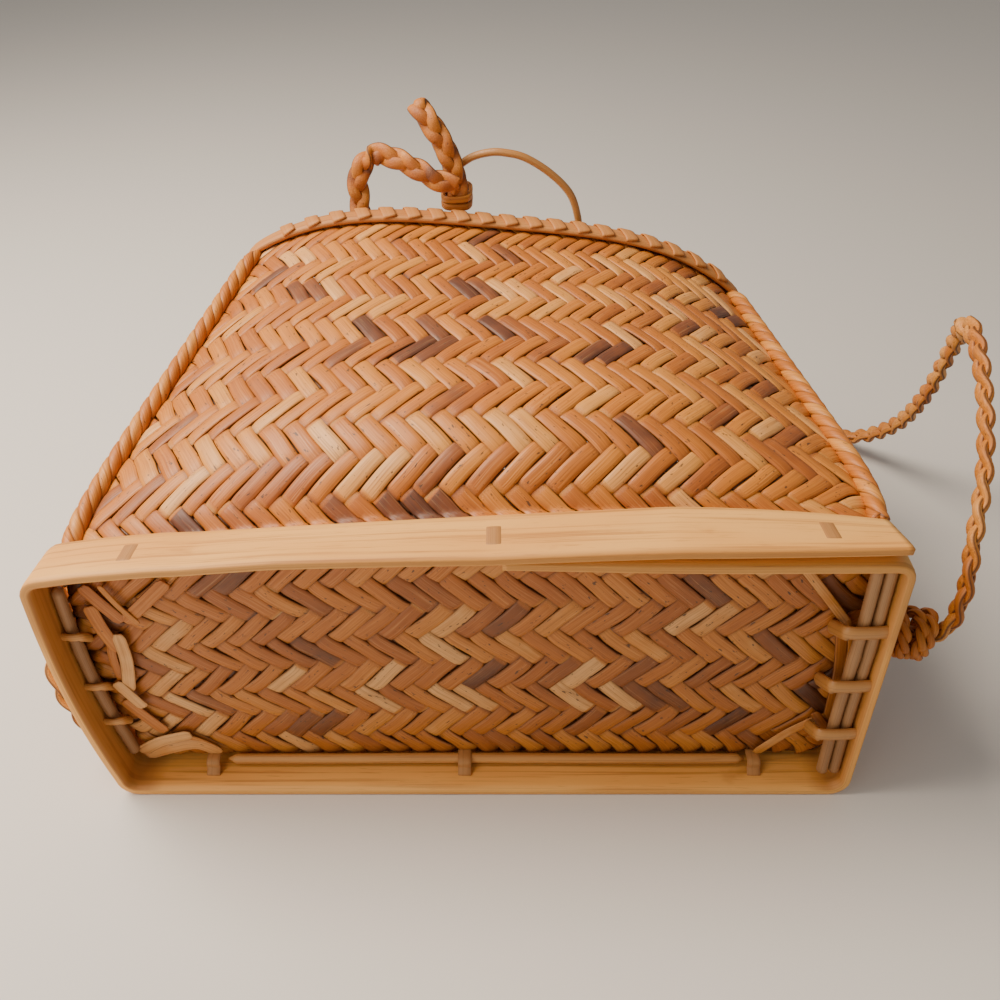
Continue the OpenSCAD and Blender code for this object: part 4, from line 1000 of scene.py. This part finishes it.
# %% [markdown]
# ## Plaits
# The straps and the tie are three-strand plaits. In a plait each strand swings from side to side and
# passes over its neighbour at each edge: sideways it is a sine wave, and its height is a wave at twice
# that rate. The straps are stiff with age and keep their bends, so they are modelled where they lie.

# %% Plaits along routes
PLAIT_STRAND, PLAIT_HUMP, TONE_RUN, TONE_WANDER = 0.28, 0.24, 40, 0.35


def plait_rings(route, side_0, side_1, width, thick, stations, pitch):
    """Three flattened strands: sideways A sin(x), upright B sin(2x), each a third of a turn apart."""
    path = spline(route, stations) - np.array([0, HALF_DEPTH, 0])
    share = np.linspace(0, 1, stations)[:, None]
    side_0, side_1 = np.asarray(side_0), np.asarray(side_1)
    flat, upright = path_frame(path, side_0 + (side_1 - side_0) * share)
    run = np.concatenate([[0], np.cumsum(np.linalg.norm(np.diff(path, axis=0), axis=1))])
    angle = 2 * np.pi * (run / pitch + np.arange(3)[:, None] / 3)
    strand_w, strand_t = PLAIT_STRAND * width, PLAIT_STRAND * thick
    swing = (width / 2 - strand_w) * np.sin(angle)
    hump = PLAIT_HUMP * thick * np.sin(2 * angle)
    lines = path + flat * swing[..., None] + upright * hump[..., None]
    return sweep(lines, flat, oval(strand_w, strand_t, 10))


def plait_tone(stations, middle):
    """Each strand's tone wanders slowly along it."""
    place = np.broadcast_to(np.linspace(0, TONE_RUN, stations), (3, stations))
    return (middle + drift(3, place, TONE_WANDER) + rng.normal(0, 0.05, (3, 1)))[..., None]


# %% [markdown]
# A strap's route runs from its seat on an end wall to its end behind the rim. Each row gives the share of
# that way, a shift in X and in depth, and a rise: 0 lies on the floor and 1 is as high as the seat.

# %% Straps
STRAP_W, STRAP_T, STRAP_PITCH, STRAP_END_X, KNOT_CORD = 10.0, 6.0, 30.0, 36.0, 2.0
PLAIT_W, PLAIT_T, STRAP_STATIONS = 8.8, 5.0, 460
KNOT_R = STRAP_W / 2 + KNOT_CORD + 2 * FIT
SEAT_T = RING_DEPTH + KNOT_R + 3
STRAP_END_T = BASKET_L + FIT + TURN_T + STRAP_T / 2
FLOOR_Z = STRAP_W / 2


def strap_seat(u, side, stand):
    """The seat's place (x, t, z): clear of the widest wall beside the knot."""
    depths = SEAT_T + KNOT_R / 2 * np.arange(7)
    reach = np.abs(section(u, depths)[:, 0]).max()
    return np.array([side * (reach + RELIEF + 2 * FIT + stand), SEAT_T, section(u, SEAT_T)[1]])


def strap_route(seat, end_x, rows):
    """The way from seat to end, mixed by each row's share and moved by its shifts and rise."""
    share, dx, dt, rise = np.array(rows).T
    x = seat[0] + (end_x - seat[0]) * share + dx
    t = seat[1] + (STRAP_END_T - seat[1]) * share + dt
    return np.stack([x, t, FLOOR_Z + (seat[2] - FLOOR_Z) * rise], -1)


right_route = strap_route(strap_seat(WALL_STARTS[1] + 0.45 * END, 1, 0), STRAP_END_X, [
    (0, 0, 0, 1), (0, 15, 0, 0.96), (0, 25, -1, 0.94), (0, 30, -3, 1.06), (0, 32, -1, 1.4),
    (0, 34.5, 9, 1.69), (0, 40, 25, 1.96), (0, 44.5, 45, 2.22), (0, 48, 67, 2.42), (0, 52, 89, 2.42),
    (0.25, 81, 71, 2),
    (0.5, 108, 52, 1.3), (0.75, 132, 37, 0.65), (1, 148, 24, 0.15), (1, 132, 39, 0), (1, 102, 45, 0),
    (1, 69, 40, 0), (1, 36, 29, 0), (1, 8, 15, 0), (1, 0, 0, 0)])
left_route = strap_route(strap_seat(WALL_STARTS[3] + 0.46 * END, -1, KNOT_R + KNOT_CORD), -STRAP_END_X, [
    (0, 9.6, -18, 0.12), (0, 6, -16.5, 0.3), (0, 2, -15, 0.5), (0, -1.5, -13, 0.72),
    (0, -2.4, -8.5, 0.92),
    (0, -1, -3, 1), (0, 0, 1, 1), (0, 0, 6, 1), (0, 0, 16, 1), (0, -1, 21, 0.98), (0, -5, 30, 0.78),
    (0, -12, 42, 0.38), (0.15, -34, 37, 0.07), (0.3, -53, 32, 0), (0.5, -80, 24, 0), (0.75, -108, 12, 0),
    (1, -119, 10, 0), (1, -95, 35, 0), (1, -67, 43, 0), (1, -38, 35, 0), (1, -10, 17, 0), (1, 0, 0, 0)])
right_plait = plait_rings(right_route, (0.2, 0.7, -0.7), (0, 1, 0), PLAIT_W, PLAIT_T,
                          STRAP_STATIONS, STRAP_PITCH)
left_plait = plait_rings(left_route, (0, 1, 0.2), (1, 0.6, 0), PLAIT_W, PLAIT_T,
                         STRAP_STATIONS, STRAP_PITCH)
tube_piece("right_strap_plait", right_plait, plait_finish, ["right_strap"],
           tone=plait_tone(STRAP_STATIONS, 0.72), lift=1.0)
tube_piece("left_strap_plait", left_plait, plait_finish, ["left_strap"],
           tone=plait_tone(STRAP_STATIONS, 0.66), lift=1.0)

# %% [markdown]
# The straps' lower ends are wound with turns of cord beside the wall. Each turn is a closed loop a little
# out of true, and each cord is two strands that wind round the loop a whole number of times.

# %% Knots
KNOT_LAY, KNOT_STRETCH, KNOT_TILT, KNOT_STATIONS = 5, 0.07, 1.1, 96
CORD_STRAND = oval(KNOT_CORD * 0.72, KNOT_CORD * 0.62, 10)


def knot_rings(route, at):
    """Three loops round a route from one of its points on: circles that tilt and stretch a little."""
    angle = np.linspace(0, 2 * np.pi, KNOT_STATIONS, endpoint=False)[:, None]
    start = route[at] - np.array([0, HALF_DEPTH, 0])
    way = unit(route[at + 1] - route[at])
    flat = unit(np.cross(way, [0.1, 0.2, 1.0]))
    upright = np.cross(way, flat)
    loops = []
    for k in range(3):
        r = KNOT_R * (1 + KNOT_STRETCH * np.cos(2 * angle + k))
        ahead = k * (2 * KNOT_CORD + FIT) + KNOT_TILT * np.sin(angle + 2.1 * k)
        spoke = np.cos(angle) * flat + np.sin(angle) * upright
        for j in (0, 1):
            wind = KNOT_LAY * angle + np.pi * j + k
            turn = np.cos(wind) * spoke + np.sin(wind) * way
            line = start + way * ahead + r * spoke + 0.5 * KNOT_CORD * turn
            loops.append(sweep(line, way, CORD_STRAND, closed=True))
    return np.array(loops)


RIGHT_KNOT_AT, LEFT_KNOT_AT = 1, 7
right_tone = np.array([0.4, 0.5, 0.62, 0.5, 0.45, 0.58])[:, None, None]
left_tone = np.array([0.5, 0.42, 0.6, 0.5, 0.55, 0.45])[:, None, None]
tube_piece("right_knot_turns", knot_rings(right_route, RIGHT_KNOT_AT), plait_finish,
           ["right_strap_knot"], True, tone=right_tone, lift=1.0)
tube_piece("left_knot_turns", knot_rings(left_route, LEFT_KNOT_AT), plait_finish,
           ["left_strap_knot"], True, tone=left_tone, lift=1.0)

# %% [markdown]
# At the middle of the front rim stands the tie: a plaited band that comes up from inside the rim, a
# folded loop with turns round its foot, and a thin cane that arches back to the rim. Their routes are set
# off from three places on the rim.

# %% Tie
TIE_W, TIE_T, TIE_CANE_R, TIE_PITCH, LEG_T = 10.0, 5.0, 1.5, 30.0, 6.5
TIE_PLAIT_W, TIE_PLAIT_T, TIE_STATIONS = 8.8, 4.6, 120
TIE_TURN_Z, TIE_TURN_STEP, TIE_TURN_WAVER, TIE_TURN_STATIONS = 4.6, 2.9, 0.4, 48
FOLD = TIE_T + 4
OVER_RIM_T = FIT + TURN_T + TIE_T / 2 + 2 * FIT
BAND_SHARE, LOOP_SHARE, CANE_SHARE = 0.8, 0.6, 0.325
MOUTH_FRONT_W = 195.0


def rim_place(share):
    """A place on the front rim, (x, t, z)."""
    p = section(WALL_STARTS[2] + share * LONG, BASKET_L)
    return np.array([p[0], BASKET_L, p[1]])


def inside_rim(share, half_w, half_t):
    """How far below its place a band of that size clears the inner hoop and its binding."""
    step = half_w / (MOUTH_FRONT_W - 2 * CORNER_REACH)
    lowest = min(rim_place(share - step)[2], rim_place(share + step)[2]) - rim_place(share)[2]
    return lowest - WALL_T - HOOP_T - TURN_T - half_t - 4 * FIT


band_place, loop_place, cane_place = rim_place(BAND_SHARE), rim_place(LOOP_SHARE), rim_place(CANE_SHARE)
band_in = inside_rim(BAND_SHARE, TIE_W / 2, TIE_T / 2)
cane_in = inside_rim(CANE_SHARE, TIE_CANE_R, TIE_CANE_R)
band_route = np.concatenate([
    band_place + [(0, -7, band_in), (-0.5, 0, band_in), (-2, OVER_RIM_T + 1.3, band_in + 4.5),
                  (-3, OVER_RIM_T + 3.1, 5), (-2, OVER_RIM_T + 3.6, 16), (6, OVER_RIM_T + 4.5, 22.5)],
    loop_place + [(-17.2, 4, 20.5), (-8.5, 1.2, 16.5), (0.8, LEG_T - TIE_T - 2 * FIT, 14)]])
loop_route = loop_place + [
    (0.8, LEG_T, 3.5), (-0.2, LEG_T, 15), (-4.2, LEG_T + 1, 27), (-10.2, LEG_T + 3, 36),
    (-14.2, LEG_T + FOLD / 2 + 2.5, 40.5), (-12.2, LEG_T + FOLD + 2, 36), (-6.2, LEG_T + FOLD + 1, 27),
    (-1.2, LEG_T + FOLD, 15), (-0.2, LEG_T + FOLD, 3.5)]
cane_route = np.concatenate([
    loop_place + [(-0.5, LEG_T + FOLD / 2, 17), (6, LEG_T + FOLD / 2 - 0.3, 21.5),
                  (13, LEG_T + FOLD / 2 - 2, 24), (19, LEG_T + FOLD / 2 - 3, 24.3)],
    cane_place + [(-22, 7, 27.5), (-12, 6.5, 21.5), (-4, 6, 13.5), (-0.5, 5.5, 4), (0, 4.6, -3),
                  (0, 2.8, cane_in + 2), (0, -2, cane_in), (0, -7, cane_in)]])
band = plait_rings(band_route, (1, 0, 0), (0.5, 0, 0.85), TIE_PLAIT_W, TIE_PLAIT_T,
                   TIE_STATIONS, TIE_PITCH)
loop = plait_rings(loop_route, (1, 0, 0.3), (1, 0, 0.3), TIE_PLAIT_W, TIE_PLAIT_T,
                   TIE_STATIONS, TIE_PITCH)
tube_piece("tie_band_plait", band, plait_finish, ["tie_band"],
           tone=plait_tone(TIE_STATIONS, 0.42), lift=1.0)
tube_piece("tie_loop_plait", loop, plait_finish, ["tie_loop"],
           tone=plait_tone(TIE_STATIONS, 0.45), lift=1.0)
cane_line = spline(cane_route, 90) - np.array([0, HALF_DEPTH, 0])
tube_piece("tie_arch_cane", sweep(cane_line, (0.3, 0.2, 1), oval(TIE_CANE_R, TIE_CANE_R, 10))[None],
           honey_finish, ["tie_cane"])
angle = np.linspace(0, 2 * np.pi, TIE_TURN_STATIONS, endpoint=False)
box = rounded_bar(TIE_PLAIT_W + 2.4, FOLD + TIE_PLAIT_T + 2.2, 4, TIE_TURN_STATIONS)
box_y = LEG_T + FOLD / 2 - HALF_DEPTH + box[:, 1]
turn_z = [TIE_TURN_Z + TIE_TURN_STEP * k + TIE_TURN_WAVER * np.sin(angle + k) for k in (0, 1)]
turn_line = np.stack([np.stack([box[:, 0], box_y, z], -1) + loop_place for z in turn_z])
turns = sweep(turn_line, (0, 0, 1), rounded_bar(2.7, 1.5, 3, 10), closed=True)
tube_piece("tie_knot_turns", turns, plait_finish, ["tie_knot"], True,
           tone=np.array([0.5, 0.65])[:, None, None], lift=1.0)

# %% [markdown]
# ## Floor, light and camera
# A plain pale floor, a broad soft light high on the left, a weak one low on the left in front of the base
# and a pale sky. The camera stands where the photograph was taken from: close, above the base and
# looking down along the basket.

# %% Stage
def soft_light(name, place, aim, size, watts, colour):
    """A square area light at place, turned so that it faces aim."""
    lamp = bpy.data.lights.new(name, "AREA")
    lamp.energy = watts
    lamp.size = size
    lamp.color = colour
    body = bpy.data.objects.new(name, lamp)
    body.visible_camera = False
    body.location = place
    towards = np.asarray(aim, float) - np.asarray(place, float)
    level = np.hypot(towards[0], towards[1])
    heading = np.arctan2(towards[1], towards[0])
    body.rotation_euler = (np.arctan2(level, -towards[2]), 0, heading - np.pi / 2)
    bpy.context.scene.collection.objects.link(body)


floor_mesh = bpy.data.meshes.new("floor")
floor_half = 6.0
floor_mesh.from_pydata([(-floor_half, -floor_half, 0), (floor_half, -floor_half, 0),
                        (floor_half, floor_half, 0), (-floor_half, floor_half, 0)], [], [(0, 1, 2, 3)])
floor = bpy.data.objects.new("floor", floor_mesh)
bpy.context.scene.collection.objects.link(floor)
floor_finish = Finish("pale_floor")
floor_mesh.materials.append(floor_finish.surface(Base_Color=(0.72, 0.68, 0.63, 1), Roughness=0.8))
soft_light("key_light", place=(-0.46, 0.12, 0.72), aim=(0, 0.05, 0.08), size=0.5, watts=13,
           colour=(1.0, 0.88, 0.74))
soft_light("fill_light", place=(-0.32, -0.34, 0.22), aim=(0, 0, 0.06), size=0.35, watts=0.7,
           colour=(1.0, 0.92, 0.82))
world = bpy.data.worlds.new("studio")
world.use_nodes = True
sky = world.node_tree.nodes["Background"].inputs
sky["Color"].default_value = (1.0, 0.97, 0.93, 1)
sky["Strength"].default_value = 0.3
bpy.context.scene.world = world

CAMERA_PLACE = (4.85, -209.7, 292.4)
CAMERA_PITCH, SENSOR, FOCAL = 38.8, 36, 34.96
lens = bpy.data.cameras.new("view")
lens.sensor_width = SENSOR
lens.lens = FOCAL
camera = bpy.data.objects.new("view", lens)
camera.location = [v * MM for v in CAMERA_PLACE]
camera.rotation_euler = (np.radians(90 - CAMERA_PITCH), 0, 0)
bpy.context.scene.collection.objects.link(camera)
bpy.context.scene.camera = camera
